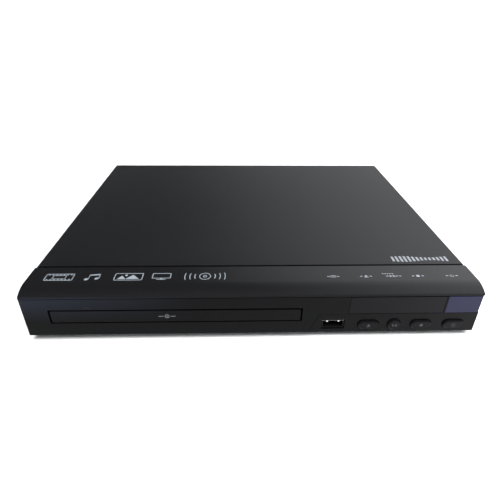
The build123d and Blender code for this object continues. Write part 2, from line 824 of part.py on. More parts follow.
# ================================================================ loader frame
frame_y0 = fascia_y + frame_front
inner_half = frame_half - frame_wall
hinge_y = disc_y + hinge_reach
hinge_z = cradle_bottom + cradle_thick / 2
floor_top = frame_bottom + frame_floor
cam_y = disc_y - cradle_front - cam_gap - cam_wall        # front face of the cam wall
motor_x = disc_x + motor_offset
cradle_mid = (cradle_rear - cradle_front) / 2
bearing_x = cradle_half + free_gap + bearing_thick / 2

with BuildPart() as loader_frame:
    # channel section with ledges under the tray and lips over it
    side = [
        (frame_half, frame_bottom), (frame_half, frame_top),
        (inner_half - lip_reach, frame_top), (inner_half - lip_reach, tray_top + lip_gap),
        (inner_half, tray_top + lip_gap), (inner_half, tray_bottom - tray_run_gap),
        (inner_half - ledge_reach, tray_bottom - tray_run_gap),
        (inner_half - ledge_reach, tray_bottom - tray_run_gap - ledge_thick),
        (inner_half, tray_bottom - tray_run_gap - ledge_thick), (inner_half, floor_top),
    ]
    with BuildSketch(front(disc_x, 0, frame_front)):
        with BuildLine():
            Polyline(*side, *[(-x, z) for x, z in reversed(side)], close=True)
        make_face()
    extrude(amount=-frame_length)
    # rear wall
    with BuildSketch(front(disc_x, 0, frame_front + frame_length)):
        with Locations((0, (frame_bottom + rear_wall_top) / 2)):
            Rectangle(2 * frame_half, rear_wall_top - frame_bottom)
    extrude(amount=frame_wall)
    # opening that the traverse swings in
    with BuildSketch(disc_level(frame_bottom)):
        with Locations((0, cradle_mid)):
            Rectangle(2 * (cradle_half + free_gap), cradle_rear + cradle_front + 2 * cam_gap)
    extrude(amount=frame_floor, mode=Mode.SUBTRACT)
    # bearings of the tilt axis
    with BuildSketch(disc_level(frame_bottom)):
        with Locations((-bearing_x, hinge_reach), (bearing_x, hinge_reach)):
            Rectangle(bearing_thick, 3 * cradle_thick + 2)
    extrude(amount=hinge_z + 2 * pivot_radius - frame_bottom)
    with BuildSketch(Plane(origin=(disc_x, hinge_y, hinge_z), x_dir=(0, 1, 0), z_dir=(1, 0, 0))):
        Circle(pivot_radius + running_fit)
    extrude(amount=bearing_x + bearing_thick, both=True, mode=Mode.SUBTRACT)
    # fixing ears
    with BuildSketch(level(ear_bottom)):
        for x, y in ear_places:
            with Locations((x, y)):
                Rectangle(ear_reach + touch_gap, ear_length)
                RegularPolygon(screw_radius + screw_clear, hole_sides, major_radius=False, mode=Mode.SUBTRACT)
    extrude(amount=ear_thick)
    # spindles of the gears, and the saddle of the loading motor
    with BuildSketch(level(floor_top)):
        with Locations((drive_x, gear_y)):
            Circle(spindle_radius)
    extrude(amount=drive_top - floor_top)
    with BuildSketch(level(floor_top)):
        with Locations((pinion_x, gear_y)):
            Circle(spindle_radius)
    extrude(amount=pinion_top - floor_top)
    with BuildSketch(level(floor_top)):
        with Locations((motor_x, gear_y)):
            Circle(motor_radius)
            Circle(motor_radius - saddle_wall, mode=Mode.SUBTRACT)
        with Locations((motor_x + motor_radius, gear_y)):
            Rectangle(2 * motor_radius, 2 * motor_radius, mode=Mode.SUBTRACT)
    extrude(amount=motor_bottom - floor_top)

# ================================================================ loading drive
with BuildPart() as drive_gear:
    with BuildSketch(level(drive_bottom)):
        with Locations((drive_x, gear_y)):
            gear_face(drive_teeth, 0)
            Circle(spindle_radius + running_fit, mode=Mode.SUBTRACT)
    extrude(amount=drive_top - drive_bottom)

wheel_half = (pinion_bottom - pulley_bottom) / 2
groove_share = 1 - belt_thick / (2 * wheel_half)           # of the V that the belt stays out of


def pulley_plane(x):
    """Upright plane through a pulley's axis, from its lower face."""
    return Plane(origin=(x, gear_y, pulley_bottom), x_dir=(1, 0, 0), z_dir=(0, -1, 0))


def pulley_section(bore, radius, groove):
    """Half section of a V-grooved pulley in the current sketch."""
    Polygon(
        (bore, 0), (radius, 0), (radius - groove, wheel_half), (radius, 2 * wheel_half),
        (bore, 2 * wheel_half), align=None,
    )


with BuildPart() as pulley_gear:
    with BuildSketch(pulley_plane(pinion_x)):
        pulley_section(spindle_radius + running_fit, pulley_radius, pulley_groove)
    revolve(axis=Axis((pinion_x, gear_y, 0), (0, 0, 1)))
    with BuildSketch(level(pinion_bottom)):
        with Locations((pinion_x, gear_y)):
            gear_face(pinion_teeth, 180 / pinion_teeth)
            Circle(spindle_radius + running_fit, mode=Mode.SUBTRACT)
    extrude(amount=pinion_top - pinion_bottom)

with BuildPart() as motor_pulley:
    with BuildSketch(pulley_plane(motor_x)):
        pulley_section(motor_shaft + running_fit, motor_pulley_radius, motor_pulley_groove)
    revolve(axis=Axis((motor_x, gear_y, 0), (0, 0, 1)))

with BuildPart() as drive_belt:
    belt_z = pulley_bottom + wheel_half - belt_thick / 2
    with BuildSketch(level(belt_z)):
        with BuildSketch(mode=Mode.PRIVATE) as belt_outline:
            with Locations((motor_x, gear_y)):
                Circle(motor_pulley_radius - motor_pulley_groove * groove_share + belt_gap)
            with Locations((pinion_x, gear_y)):
                Circle(pulley_radius - pulley_groove * groove_share + belt_gap)
            make_hull()
        add(belt_outline.sketch)
        offset(amount=belt_thick, mode=Mode.ADD)
        add(belt_outline.sketch, mode=Mode.SUBTRACT)
    extrude(amount=belt_thick)

with BuildPart() as loading_motor:
    with BuildSketch(level(motor_bottom)):
        with Locations((motor_x, gear_y)):
            Circle(motor_radius)
    extrude(amount=motor_height)
    chamfer(loading_motor.faces().sort_by(Axis.Z)[-1].edges(), button_rounding)
    with BuildSketch(level(pulley_bottom)):
        with Locations((motor_x, gear_y)):
            Circle(motor_shaft)
    extrude(amount=motor_bottom - pulley_bottom)

# ================================================================ traverse
tilt = radians(tilt_angle)
lift_drop = (hinge_reach + pin_reach) * sin(tilt)
cam_slope = degrees(atan2(lift_drop, cam_travel))
slot_run = hypot(lift_drop, cam_travel)
slot_half = lift_pin_radius + cam_slot_gap

with BuildPart() as cam_slider:
    cam_left = -lift_pin_x - cam_travel - cam_margin
    cam_right = lift_pin_x + cam_margin
    cam_mid = (cam_left + cam_right) / 2
    with BuildSketch(front(disc_x, 0, cam_y + cam_wall - fascia_y)):
        with Locations((cam_mid, (cam_bottom + cam_top) / 2)):
            Rectangle(cam_right - cam_left, cam_top - cam_bottom)
        with Locations((-lift_pin_x - cam_travel / 2, hinge_z - lift_drop / 2),
                       (lift_pin_x - cam_travel / 2, hinge_z - lift_drop / 2)):
            SlotCenterToCenter(slot_run, 2 * slot_half, rotation=cam_slope, mode=Mode.SUBTRACT)
    extrude(amount=cam_wall)
    with BuildSketch(level(floor_top + tray_run_gap)):
        with Locations((disc_x + cam_mid, cam_y - cam_flange)):
            Rectangle(cam_right - cam_left, 2 * cam_flange)
    extrude(amount=cam_flange)

with BuildPart() as traverse_cradle:
    with BuildSketch(disc_level(cradle_bottom)):
        with Locations((0, cradle_mid)):
            RectangleRounded(2 * cradle_half, cradle_rear + cradle_front, tray_corner)
        with Locations((0, cradle_mid + (cradle_ring - cradle_rear_ring) / 2)):
            Rectangle(2 * (cradle_half - cradle_ring),
                      cradle_rear + cradle_front - cradle_ring - cradle_rear_ring, mode=Mode.SUBTRACT)
    extrude(amount=cradle_thick)
    # arms and pivots of the tilt axis
    with BuildSketch(disc_level(cradle_bottom)):
        for side in (-1, 1):
            with Locations((side * (cradle_half - cradle_ring / 2), (cradle_rear + hinge_reach) / 2)):
                Rectangle(cradle_ring, hinge_reach - cradle_rear + 2 * tray_corner)
    extrude(amount=cradle_thick)
    with BuildSketch(Plane(origin=(disc_x, hinge_y, hinge_z), x_dir=(0, 1, 0), z_dir=(1, 0, 0))):
        Circle(pivot_radius)
    extrude(amount=cradle_half + pivot_length, both=True)
    with BuildSketch(disc_level(hinge_z - pivot_radius)):
        with Locations((0, hinge_reach)):
            Rectangle(2 * (cradle_half - cradle_ring), 3 * pivot_radius)
    extrude(amount=3 * pivot_radius, mode=Mode.SUBTRACT)
    # lift pins that the cam slider carries
    with BuildSketch(front(disc_x, hinge_z, disc_setback - cradle_front)):
        with Locations((-lift_pin_x, 0), (lift_pin_x, 0)):
            Circle(lift_pin_radius)
    extrude(amount=cam_gap + cam_wall)

damper_x = cradle_half - cradle_ring / 2
damper_y = (cradle_ring / 2 - cradle_front, cradle_rear - cradle_ring)
deck_bottom = cradle_bottom + cradle_thick + damper_height
with BuildPart() as deck_dampers:
    for x in (-damper_x, damper_x):
        for y in damper_y:
            with BuildSketch(disc_level(cradle_bottom + cradle_thick)):
                with Locations((x, y)):
                    Circle(damper_radius)
            extrude(amount=damper_height)

with BuildPart() as traverse_deck:
    window_gap = sled_half + cam_gap
    with BuildSketch(disc_level(deck_bottom)):
        with Locations((0, cradle_mid)):
            Rectangle(2 * (cradle_half - touch_gap), cradle_rear + cradle_front - deck_margin)
        Circle(spindle_base_radius - deck_margin, mode=Mode.SUBTRACT)
        window_front = sled_front - cam_gap
        window_back = sled_front + sled_length + sled_travel + cam_gap
        with Locations((0, (window_front + window_back) / 2)):
            Rectangle(2 * window_gap, window_back - window_front, mode=Mode.SUBTRACT)
        with Locations((screw_x, feed_motor_front + feed_motor_length / 2)):
            Rectangle(2 * (feed_motor_radius + touch_gap), feed_motor_length + cam_gap, mode=Mode.SUBTRACT)
    extrude(amount=deck_thick)
    # holders of the guide rods and the feed screw
    with BuildSketch(disc_level(rod_z - 2 * rod_radius)):
        for x in (-rod_x, rod_x):
            with Locations((x, rod_front - holder_length / 2), (x, rod_rear + holder_length / 2)):
                Rectangle(2 * holder_half, holder_length)
        with Locations((screw_x, rod_rear + holder_length / 2)):
            Rectangle(2 * holder_half, holder_length)
    extrude(amount=deck_bottom - rod_z + 2 * rod_radius)
    with BuildSketch(front(disc_x + screw_x, rod_z, disc_setback + rod_rear)):
        Circle(feed_screw_radius + running_fit)
    extrude(amount=-holder_length, mode=Mode.SUBTRACT)

with BuildPart() as guide_rods:
    with BuildSketch(front(disc_x, rod_z, disc_setback + rod_front)):
        with Locations((-rod_x, 0), (rod_x, 0)):
            Circle(rod_radius)
    extrude(amount=-(rod_rear - rod_front))

with BuildPart() as optical_pickup:
    with BuildSketch(disc_level(sled_bottom)):
        with Locations((0, sled_front + sled_length / 2)):
            Rectangle(2 * sled_half, sled_length)
    extrude(amount=sled_top - sled_bottom)
    chamfer(optical_pickup.faces().sort_by(Axis.Z)[-1].edges(), button_gap)
    # follower that rides on the feed screw
    arm_end = screw_x - feed_screw_radius - free_gap
    with BuildSketch(disc_level(rod_z - 1.0)):
        with Locations(((sled_half + arm_end) / 2, sled_front + sled_length / 2)):
            Rectangle(arm_end - sled_half, sled_length / 2)
    extrude(amount=2.0)
    with BuildSketch(front(disc_x, rod_z, disc_setback + sled_front)):
        with Locations((-rod_x, 0), (rod_x, 0)):
            Circle(rod_radius + running_fit)
    extrude(amount=-sled_length, mode=Mode.SUBTRACT)

with BuildPart() as pickup_lens:
    with BuildSketch(disc_level(sled_top)):
        with Locations((0, sled_front + lens_reach)):
            Circle(lens_radius)
    extrude(amount=lens_height)

with BuildPart() as feed_motor:
    with BuildSketch(front(disc_x + screw_x, rod_z, disc_setback + feed_motor_front)):
        Circle(feed_motor_radius)
    extrude(amount=-feed_motor_length)

with BuildPart() as feed_screw:
    screw_front = feed_motor_front + feed_motor_length + touch_gap
    with BuildSketch(front(disc_x + screw_x, rod_z, disc_setback + screw_front)):
        Circle(feed_screw_radius)
    extrude(amount=-(rod_rear + holder_length - screw_front))

# ================================================================ spindle and clamp
deck_top = deck_bottom + deck_thick
with BuildPart() as spindle_motor:
    with BuildSketch(disc_level(deck_bottom)):
        Circle(spindle_base_radius)
        Circle(spindle_shaft + running_fit, mode=Mode.SUBTRACT)
    extrude(amount=-spindle_base_height)

rotor_bottom = deck_top + turntable_lift
with BuildPart() as turntable:
    with BuildSketch(Plane(origin=(disc_x, disc_y, 0), x_dir=(1, 0, 0), z_dir=(0, -1, 0))):
        with BuildLine():
            Polyline(
                (0, deck_bottom - spindle_base_height + cam_gap),
                (spindle_shaft, deck_bottom - spindle_base_height + cam_gap),
                (spindle_shaft, rotor_bottom), (turntable_radius, rotor_bottom),
                (turntable_radius, seat_height), (hub_radius, seat_height),
                (hub_radius, seat_height + pad_height + disc_clear), (hub_top_radius, hub_top),
                (0, hub_top), close=True,
            )
        make_face()
    revolve(axis=Axis((disc_x, disc_y, 0), (0, 0, 1)))

with BuildPart() as turntable_pad:
    with BuildSketch(disc_level(seat_height)):
        Circle(turntable_radius - free_gap)
        Circle(pad_inner, mode=Mode.SUBTRACT)
    extrude(amount=pad_height)

with BuildPart() as clamp_bridge:
    with BuildSketch(disc_level(frame_top)):
        Rectangle(2 * frame_half, 2 * bridge_half)
        Circle(clamp_radius + free_gap, mode=Mode.SUBTRACT)
        with GridLocations(2 * (frame_half - frame_wall / 2), 2 * (bridge_half - boss_radius), 2, 2):
            RegularPolygon(spindle_radius / 2, hole_sides, mode=Mode.SUBTRACT)
    extrude(amount=bridge_thick)
    with BuildSketch(disc_level(frame_top + bridge_thick)):
        for side in (-1, 1):
            with Locations((0, side * (bridge_half - bridge_rib_wall / 2))):
                Rectangle(2 * frame_half, bridge_rib_wall)
    extrude(amount=bridge_rib)

clamp_seat = frame_top + bridge_thick + free_gap
with BuildPart() as clamper:
    with BuildSketch(disc_level(clamp_bottom)):
        Circle(clamp_radius)
        Circle(hub_top_radius, mode=Mode.SUBTRACT)
    extrude(amount=clamp_seat - clamp_bottom)
    with BuildSketch(disc_level(clamp_seat)):
        Circle(clamp_flange_radius)
    extrude(amount=clamp_flange)

with BuildPart() as clamp_magnet:
    with BuildSketch(disc_level(clamp_seat + clamp_flange)):
        Circle(magnet_radius)
    extrude(amount=magnet_height)

# ================================================================ main board
with BuildPart() as main_board:
    with BuildSketch(level(board_bottom)):
        with Locations(((main_left + main_right) / 2, (main_front_y + board_back_y) / 2)):
            Rectangle(main_right - main_left, main_length)
        with Locations(*main_holes):
            RegularPolygon(screw_radius + screw_clear, hole_sides, major_radius=False, mode=Mode.SUBTRACT)
    extrude(amount=board_thick)

with BuildPart() as board_chips:
    for across, along, side in chip_places:
        with BuildSketch(level(board_top)):
            with Locations((main_left + across * main_width, main_front_y + along * main_length)):
                Rectangle(side, side * chip_aspect)
        extrude(amount=chip_thick)

with BuildPart() as board_capacitors:
    for across, along in can_places:
        with BuildSketch(level(board_top)):
            with Locations((main_left + across * main_width, main_front_y + along * main_length)):
                Circle(can_radius)
        extrude(amount=can_height)

# ================================================================ power board
power_mid_y = (power_front_y + board_back_y) / 2
with BuildPart() as power_board:
    with BuildSketch(level(board_bottom)):
        with Locations(((power_left + power_right) / 2, power_mid_y)):
            Rectangle(power_right - power_left, power_length)
        with Locations(*power_holes):
            RegularPolygon(screw_radius + screw_clear, hole_sides, major_radius=False, mode=Mode.SUBTRACT)
    extrude(amount=board_thick)

transformer_x = power_left + transformer_share * power_width
sink_x = power_left + sink_share * power_width
with BuildPart() as mains_transformer:
    # core plates below and above, with the taped winding between them
    for rise in (0, core_plate + winding_height):
        with BuildSketch(level(board_top + rise)):
            with Locations((transformer_x, power_mid_y)):
                Rectangle(core_side, core_side)
        extrude(amount=core_plate)
    with BuildSketch(level(board_top + core_plate)):
        with Locations((transformer_x, power_mid_y)):
            RectangleRounded(core_side - winding_step, core_side + winding_step, winding_step)
    extrude(amount=winding_height)

with BuildPart() as power_capacitors:
    with BuildSketch(level(board_top)):
        with Locations((power_left + reservoir_share * power_width, power_mid_y)):
            Circle(reservoir_radius)
    extrude(amount=reservoir_height)
    with BuildSketch(level(board_top)):
        for share in filter_shares:
            with Locations((power_left + share * power_width, power_mid_y)):
                Circle(filter_radius)
    extrude(amount=filter_height)

with BuildPart() as power_heatsink:
    with BuildSketch(level(board_top)):
        with Locations((sink_x, power_mid_y)):
            Rectangle(sink_wall, sink_width)
        with Locations((sink_x + sink_wall, power_mid_y)):
            with GridLocations(0, (sink_width - sink_fin) / 2, 1, 3):
                Rectangle(2 * sink_wall, sink_fin)
    extrude(amount=sink_height)

# ================================================================ rear sockets
inlet_plane_y = wall_back_y + inlet_flange


with BuildPart() as mains_inlet:
    with BuildSketch(upright(inlet_x, inlet_plane_y, inlet_z)):
        RectangleRounded(inlet_width + 2 * inlet_flange_margin, inlet_height + 2 * inlet_flange_margin, 1.5)
    extrude(amount=-inlet_flange)
    with BuildSketch(upright(inlet_x, wall_back_y, inlet_z)):
        Rectangle(inlet_width + 2 * inlet_wall, inlet_height + 2 * inlet_wall)
    extrude(amount=-(inlet_body - inlet_flange))
    with BuildSketch(upright(inlet_x, inlet_plane_y, inlet_z)):
        SlotOverall(inlet_width, inlet_height)
    extrude(amount=-inlet_recess, mode=Mode.SUBTRACT)

with BuildPart() as inlet_pins:
    with BuildSketch(upright(inlet_x, inlet_plane_y - inlet_recess, inlet_z)):
        with Locations((-inlet_pin_pitch / 2, 0), (inlet_pin_pitch / 2, 0)):
            Circle(inlet_pin_radius)
    extrude(amount=inlet_pin_length)

with BuildPart() as video_socket:
    with BuildSketch(upright(hdmi_x, wall_back_y + hdmi_reach, hdmi_z)):
        Trapezoid(hdmi_width, hdmi_height, 76, rotation=180)
        offset(amount=-hdmi_shell, mode=Mode.SUBTRACT)
    extrude(amount=-hdmi_depth)
    with BuildSketch(upright(hdmi_x, wall_back_y + hdmi_reach - hdmi_depth, hdmi_z)):
        Trapezoid(hdmi_width, hdmi_height, 76, rotation=180)
    extrude(amount=hdmi_shell * 2)
    with BuildSketch(upright(hdmi_x, wall_back_y + hdmi_reach - hdmi_depth, hdmi_z)):
        Rectangle(hdmi_width * 0.72, hdmi_shell * 2)
    extrude(amount=hdmi_depth - 2 * disc_clear)

block_left = min(jack_places) - jack_radius - 2
block_right = max(jack_places) + jack_radius + 2
with BuildPart() as phono_block:
    with BuildSketch(level(board_top)):
        with Locations(((block_left + block_right) / 2, wall_front_y - touch_gap - jack_block_depth / 2)):
            Rectangle(block_right - block_left, jack_block_depth)
    extrude(amount=jack_block_height)

with BuildPart() as phono_sockets:
    for x in jack_places:
        with BuildSketch(upright(x, wall_front_y - touch_gap, jack_z)):
            Circle(jack_radius)
            Circle(jack_radius - jack_wall, mode=Mode.SUBTRACT)
        extrude(amount=back_y + jack_reach - wall_front_y + touch_gap)

with BuildPart() as phono_inserts:
    for x in jack_places:
        with BuildSketch(upright(x, wall_front_y - touch_gap, jack_z)):
            Circle(jack_radius - jack_wall)
            Circle(jack_bore, mode=Mode.SUBTRACT)
        extrude(amount=back_y + jack_reach - wall_front_y + touch_gap - button_gap)

# ================================================================ ribbon, feet, screws
with BuildPart() as front_ribbon:
    ribbon_y0 = fascia_y + board_setback + board_thick + ribbon_thick
    ribbon_low = board_top + ribbon_thick / 2
    ribbon_high = board_top + ribbon_rise
    with BuildSketch(Plane.YZ.offset(main_left + ribbon_share * main_width)):
        with BuildLine():
            route = FilletPolyline(
                (ribbon_y0, ribbon_high), (ribbon_y0 + ribbon_lead, ribbon_high),
                (ribbon_y0 + 2 * ribbon_lead, ribbon_low), (main_front_y + ribbon_lap, ribbon_low),
                radius=ribbon_bend,
            )
            offset(route, amount=ribbon_thick / 2, side=Side.BOTH)
        make_face()
    extrude(amount=ribbon_width)

with BuildPart() as rubber_feet:
    for x in (-lid_width / 2 + foot_inset_x, lid_width / 2 - foot_inset_x):
        for y in (seam_y + foot_inset_y, back_y - foot_inset_y):
            with BuildSketch(level(0)):
                with Locations((x, y)):
                    Circle(foot_radius - foot_taper)
            with BuildSketch(level(foot_height)):
                with Locations((x, y)):
                    Circle(foot_radius)
            loft()


def make_screws(seats, head_sides):
    """A group of identical screws, each on its own seat plane."""
    with BuildPart() as screws:
        for seat in seats:
            with BuildSketch(seat):
                RegularPolygon(screw_head_radius, head_sides)
            extrude(amount=screw_head_height)
            with BuildSketch(seat):
                RegularPolygon(screw_radius, hole_sides)
            extrude(amount=-screw_length)
    return screws


cover_screws = make_screws([upright(x, back_y, lid_screw_z) for x in lid_screw_x], 3 * hole_sides)
inner_seats = [Plane(origin=(x, y, board_top)) for x, y in main_holes + power_holes]
inner_seats += [Plane(origin=(x, y, ear_bottom + ear_thick)) for x, y in ear_places]
inner_screws = make_screws(inner_seats, standoff_sides)

# ================================================================ write every sub-part
parts = {
    "chassis_pan": chassis_pan, "top_cover": top_cover, "front_bezel": front_bezel,
    "display_window": display_window, "sensor_window": sensor_window,
    "tact_switches": tact_switches, "front_board": front_board,
    "display_module": display_module, "sensor_eye": sensor_eye,
    "usb_socket": usb_socket, "usb_tongue": usb_tongue, "usb_board": usb_board,
    "tray_door": tray_door, "disc_tray": disc_tray,
    "loader_frame": loader_frame, "drive_gear": drive_gear, "pulley_gear": pulley_gear,
    "motor_pulley": motor_pulley, "drive_belt": drive_belt, "loading_motor": loading_motor,
    "cam_slider": cam_slider, "traverse_cradle": traverse_cradle,
    "deck_dampers": deck_dampers, "traverse_deck": traverse_deck,
    "guide_rods": guide_rods, "optical_pickup": optical_pickup, "pickup_lens": pickup_lens,
    "feed_motor": feed_motor, "feed_screw": feed_screw,
    "spindle_motor": spindle_motor, "turntable": turntable, "turntable_pad": turntable_pad,
    "clamp_bridge": clamp_bridge, "clamper": clamper, "clamp_magnet": clamp_magnet,
    "main_board": main_board, "board_chips": board_chips, "board_capacitors": board_capacitors,
    "power_board": power_board, "mains_transformer": mains_transformer,
    "power_capacitors": power_capacitors, "power_heatsink": power_heatsink,
    "mains_inlet": mains_inlet, "inlet_pins": inlet_pins, "video_socket": video_socket,
    "phono_block": phono_block, "phono_sockets": phono_sockets, "phono_inserts": phono_inserts,
    "front_ribbon": front_ribbon, "rubber_feet": rubber_feet,
    "cover_screws": cover_screws, "inner_screws": inner_screws,
}
for key in button_places:
    parts[f"{key}_button"] = make_button(key)
    parts[f"{key}_plunger"] = make_plunger(key)
for name, built in parts.items():
    save(name, built)
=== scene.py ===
"""Looks of a slim black disc player with a loading tray, dressed around its packed construction model.

Everything is in metres in the construction model's own frame: +X to the right seen from the front,
-Y towards the user, +Z up, with the player standing on z = 0.
"""

import json
import logging
import math
from dataclasses import dataclass, field
from enum import Enum
from functools import cache
from typing import Iterable, Sequence

import bmesh
import bpy
import numpy as np
from mathutils import Matrix, Vector

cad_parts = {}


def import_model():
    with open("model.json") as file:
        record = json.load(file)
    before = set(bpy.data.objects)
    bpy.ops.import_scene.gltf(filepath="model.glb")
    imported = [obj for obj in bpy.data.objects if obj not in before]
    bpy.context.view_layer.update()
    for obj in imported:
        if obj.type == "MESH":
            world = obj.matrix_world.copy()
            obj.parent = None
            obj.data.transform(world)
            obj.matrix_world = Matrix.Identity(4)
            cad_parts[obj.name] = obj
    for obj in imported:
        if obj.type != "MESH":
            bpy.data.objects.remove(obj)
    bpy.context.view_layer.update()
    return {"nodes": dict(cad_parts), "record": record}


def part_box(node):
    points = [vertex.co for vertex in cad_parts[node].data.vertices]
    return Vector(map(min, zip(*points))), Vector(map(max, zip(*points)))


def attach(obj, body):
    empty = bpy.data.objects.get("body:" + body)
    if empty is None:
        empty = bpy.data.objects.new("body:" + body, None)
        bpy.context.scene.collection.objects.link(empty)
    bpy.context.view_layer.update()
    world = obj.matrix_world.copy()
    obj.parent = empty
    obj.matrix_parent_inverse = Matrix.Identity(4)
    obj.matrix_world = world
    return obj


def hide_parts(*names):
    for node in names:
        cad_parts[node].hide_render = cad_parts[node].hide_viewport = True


log = logging.getLogger("disc_player")
MM = 0.001
SHARP = math.radians(25)
SEAM_DEPTH = 27.0 * MM
Colour = tuple[float, float, float]
Point = tuple[float, float]
Shape = tuple[np.ndarray, list[list[int]]]


# ---------------------------------------------------------------- shader maths
class Wire:
    """A shader socket that Python's operators can work with."""

    def __init__(self, sheet: "NodeSheet", socket: bpy.types.NodeSocket) -> None:
        """Wrap a socket of the given node sheet."""
        self.sheet = sheet
        self.socket = socket

    def _maths(self, operation: str, *others: object) -> "Wire":
        """Add one Math node that works on this value and the others."""
        values = [self, *others]
        return self.sheet.node("ShaderNodeMath", {"operation": operation}, dict(enumerate(values)))

    def __add__(self, other: object) -> "Wire":
        """Sum of two values."""
        return self._maths("ADD", other)

    __radd__ = __add__

    def __mul__(self, other: object) -> "Wire":
        """Product of two values."""
        return self._maths("MULTIPLY", other)

    __rmul__ = __mul__

    def __sub__(self, other: object) -> "Wire":
        """This value less the other."""
        return self._maths("SUBTRACT", other)

    def __rsub__(self, other: object) -> "Wire":
        """The other value less this one."""
        return self.sheet.node("ShaderNodeMath", {"operation": "SUBTRACT"}, {0: other, 1: self})

    def __truediv__(self, other: object) -> "Wire":
        """This value divided by the other."""
        return self._maths("DIVIDE", other)

    def __pow__(self, other: object) -> "Wire":
        """This value raised to a power."""
        return self._maths("POWER", other)

    def above(self, edge: float, blur: float) -> "Wire":
        """Soft step, 0 below the edge and 1 above it, over the given blur."""
        return ((self - edge) / blur + 0.5)._maths("MAXIMUM", 0.0)._maths("MINIMUM", 1.0)

    def size(self) -> "Wire":
        """Absolute value."""
        return self._maths("ABSOLUTE")

    def fraction(self) -> "Wire":
        """Fractional part of the value."""
        return self._maths("FRACT")

    def most(self, other: object) -> "Wire":
        """Larger of two values."""
        return self._maths("MAXIMUM", other)


class NodeSheet:
    """A node tree with one method that adds any node."""

    def __init__(self, tree: bpy.types.NodeTree) -> None:
        """Start on an empty tree."""
        self.tree = tree
        tree.nodes.clear()

    def node(self, kind: str, settings: dict | None = None, inputs: dict | None = None, out: object = 0) -> Wire:
        """Add one node.

        Args:
            kind: the node's type name.
            settings: properties, set before anything is linked.
            inputs: values or wires, by input name or number.
            out: the output to hand back, by name or number.

        Returns:
            The chosen output as a Wire.
        """
        made = self.tree.nodes.new(kind)
        for name, value in (settings or {}).items():
            setattr(made, name, value)
        for name, value in (inputs or {}).items():
            if isinstance(value, Wire):
                self.tree.links.new(value.socket, made.inputs[name])
            else:
                whole = made.inputs[name].type == "RGBA"
                made.inputs[name].default_value = (*value[:3], 1.0) if whole else value
        return Wire(self, made.outputs[out])

    def place(self) -> Wire:
        """Object coordinates, in metres."""
        return self.node("ShaderNodeTexCoord", out="Object")

    def split(self, vector: Wire) -> tuple[Wire, ...]:
        """The three parts of a vector as numbers."""
        parts = self.node("ShaderNodeSeparateXYZ", {}, {0: vector}).socket.node.outputs
        return tuple(Wire(self, part) for part in parts)

    def axes(self) -> tuple[Wire, ...]:
        """The three object coordinates as numbers."""
        return self.split(self.place())

    def noise(self, scale: float, detail: float = 2.0, rough: float = 0.5,
              stretch: Sequence[float] = (1, 1, 1)) -> Wire:
        """Noise on object coordinates, from 0 to 1.

        Args:
            scale: features per metre.
            detail: octaves.
            rough: weight of the finer octaves.
            stretch: scale along X, Y and Z.

        Returns:
            The noise value.
        """
        spot = self.node("ShaderNodeMapping", {}, {"Vector": self.place(), "Scale": tuple(stretch)})
        return self.node(
            "ShaderNodeTexNoise", {}, {"Vector": spot, "Scale": scale, "Detail": detail, "Roughness": rough}
        )

    def blend(self, mask: object, low: object, high: object) -> Wire:
        """Mix two colours by a mask.

        Args:
            mask: 0 keeps low, 1 gives high.
            low: colour or wire.
            high: colour or wire.

        Returns:
            The mixed colour.
        """
        return self.node("ShaderNodeMix", {"data_type": "RGBA"}, {"Factor": mask, 6: low, 7: high}, out=2)

    def bump(self, height: Wire, strength: float, distance: float) -> Wire:
        """Bump from a height, for the Normal socket."""
        return self.node(
            "ShaderNodeBump", {}, {"Height": height, "Strength": strength, "Distance": distance}, out="Normal"
        )

    def close(self, kind: str, shader: Wire) -> None:
        """Send a shader to a new output node of the given kind."""
        final = self.tree.nodes.new(kind)
        self.tree.links.new(shader.socket, final.inputs["Surface"])


# ---------------------------------------------------------------- finishes
@dataclass(frozen=True)
class Finish:
    """One material, from what changes over its surface and what is the same all over."""

    name: str
    specular: float = field(default=0.5, kw_only=True)

    def inputs(self, sheet: NodeSheet) -> dict:
        """Principled inputs that change over the surface."""
        raise NotImplementedError

    def fixed(self) -> dict:
        """Principled inputs that are the same all over."""
        return {"Specular IOR Level": self.specular}

    def material(self) -> bpy.types.Material:
        """Build the material."""
        material = bpy.data.materials.new(self.name)
        material.use_nodes = True
        sheet = NodeSheet(material.node_tree)
        sheet.close("ShaderNodeOutputMaterial",
                    sheet.node("ShaderNodeBsdfPrincipled", {}, {**self.fixed(), **self.inputs(sheet)}))
        return material


@dataclass(frozen=True)
class Paint(Finish):
    """Baked satin paint on sheet steel, with a fine orange peel."""

    colour: Colour = (0.0075, 0.0078, 0.0085)
    roughness: float = 0.34
    peel: float = 900.0
    peel_depth: float = 0.05

    def inputs(self, sheet: NodeSheet) -> dict:
        """Inputs that change over the paint."""
        cloud = sheet.noise(22.0, 3.0)
        speck = sheet.noise(6000.0, 1.0).above(0.74, 0.05)
        tone = sheet.blend(cloud, self.colour, tuple(c * 1.25 for c in self.colour))
        return {
            "Base Color": sheet.blend(speck * 0.25, tone, (0.05, 0.05, 0.055)),
            "Roughness": cloud * 0.05 + (self.roughness - 0.025),
            "Normal": sheet.bump(sheet.noise(self.peel, 2.0), self.peel_depth, 0.0002),
        }


@dataclass(frozen=True)
class Moulding(Finish):
    """Injection-moulded plastic, from gloss to a spark-eroded grain."""

    colour: Colour = (0.006, 0.006, 0.0068)
    roughness: float = 0.28
    grain: float = 2600.0
    grain_depth: float = 0.04
    lift: float = 1.35

    def inputs(self, sheet: NodeSheet) -> dict:
        """Inputs that change over the plastic."""
        cloud = sheet.noise(35.0, 2.0)
        return {
            "Base Color": sheet.blend(cloud, self.colour, tuple(min(1.0, c * self.lift) for c in self.colour)),
            "Roughness": cloud * 0.08 + (self.roughness - 0.04),
            "Normal": sheet.bump(sheet.noise(self.grain, 1.0), self.grain_depth, 0.0001),
        }


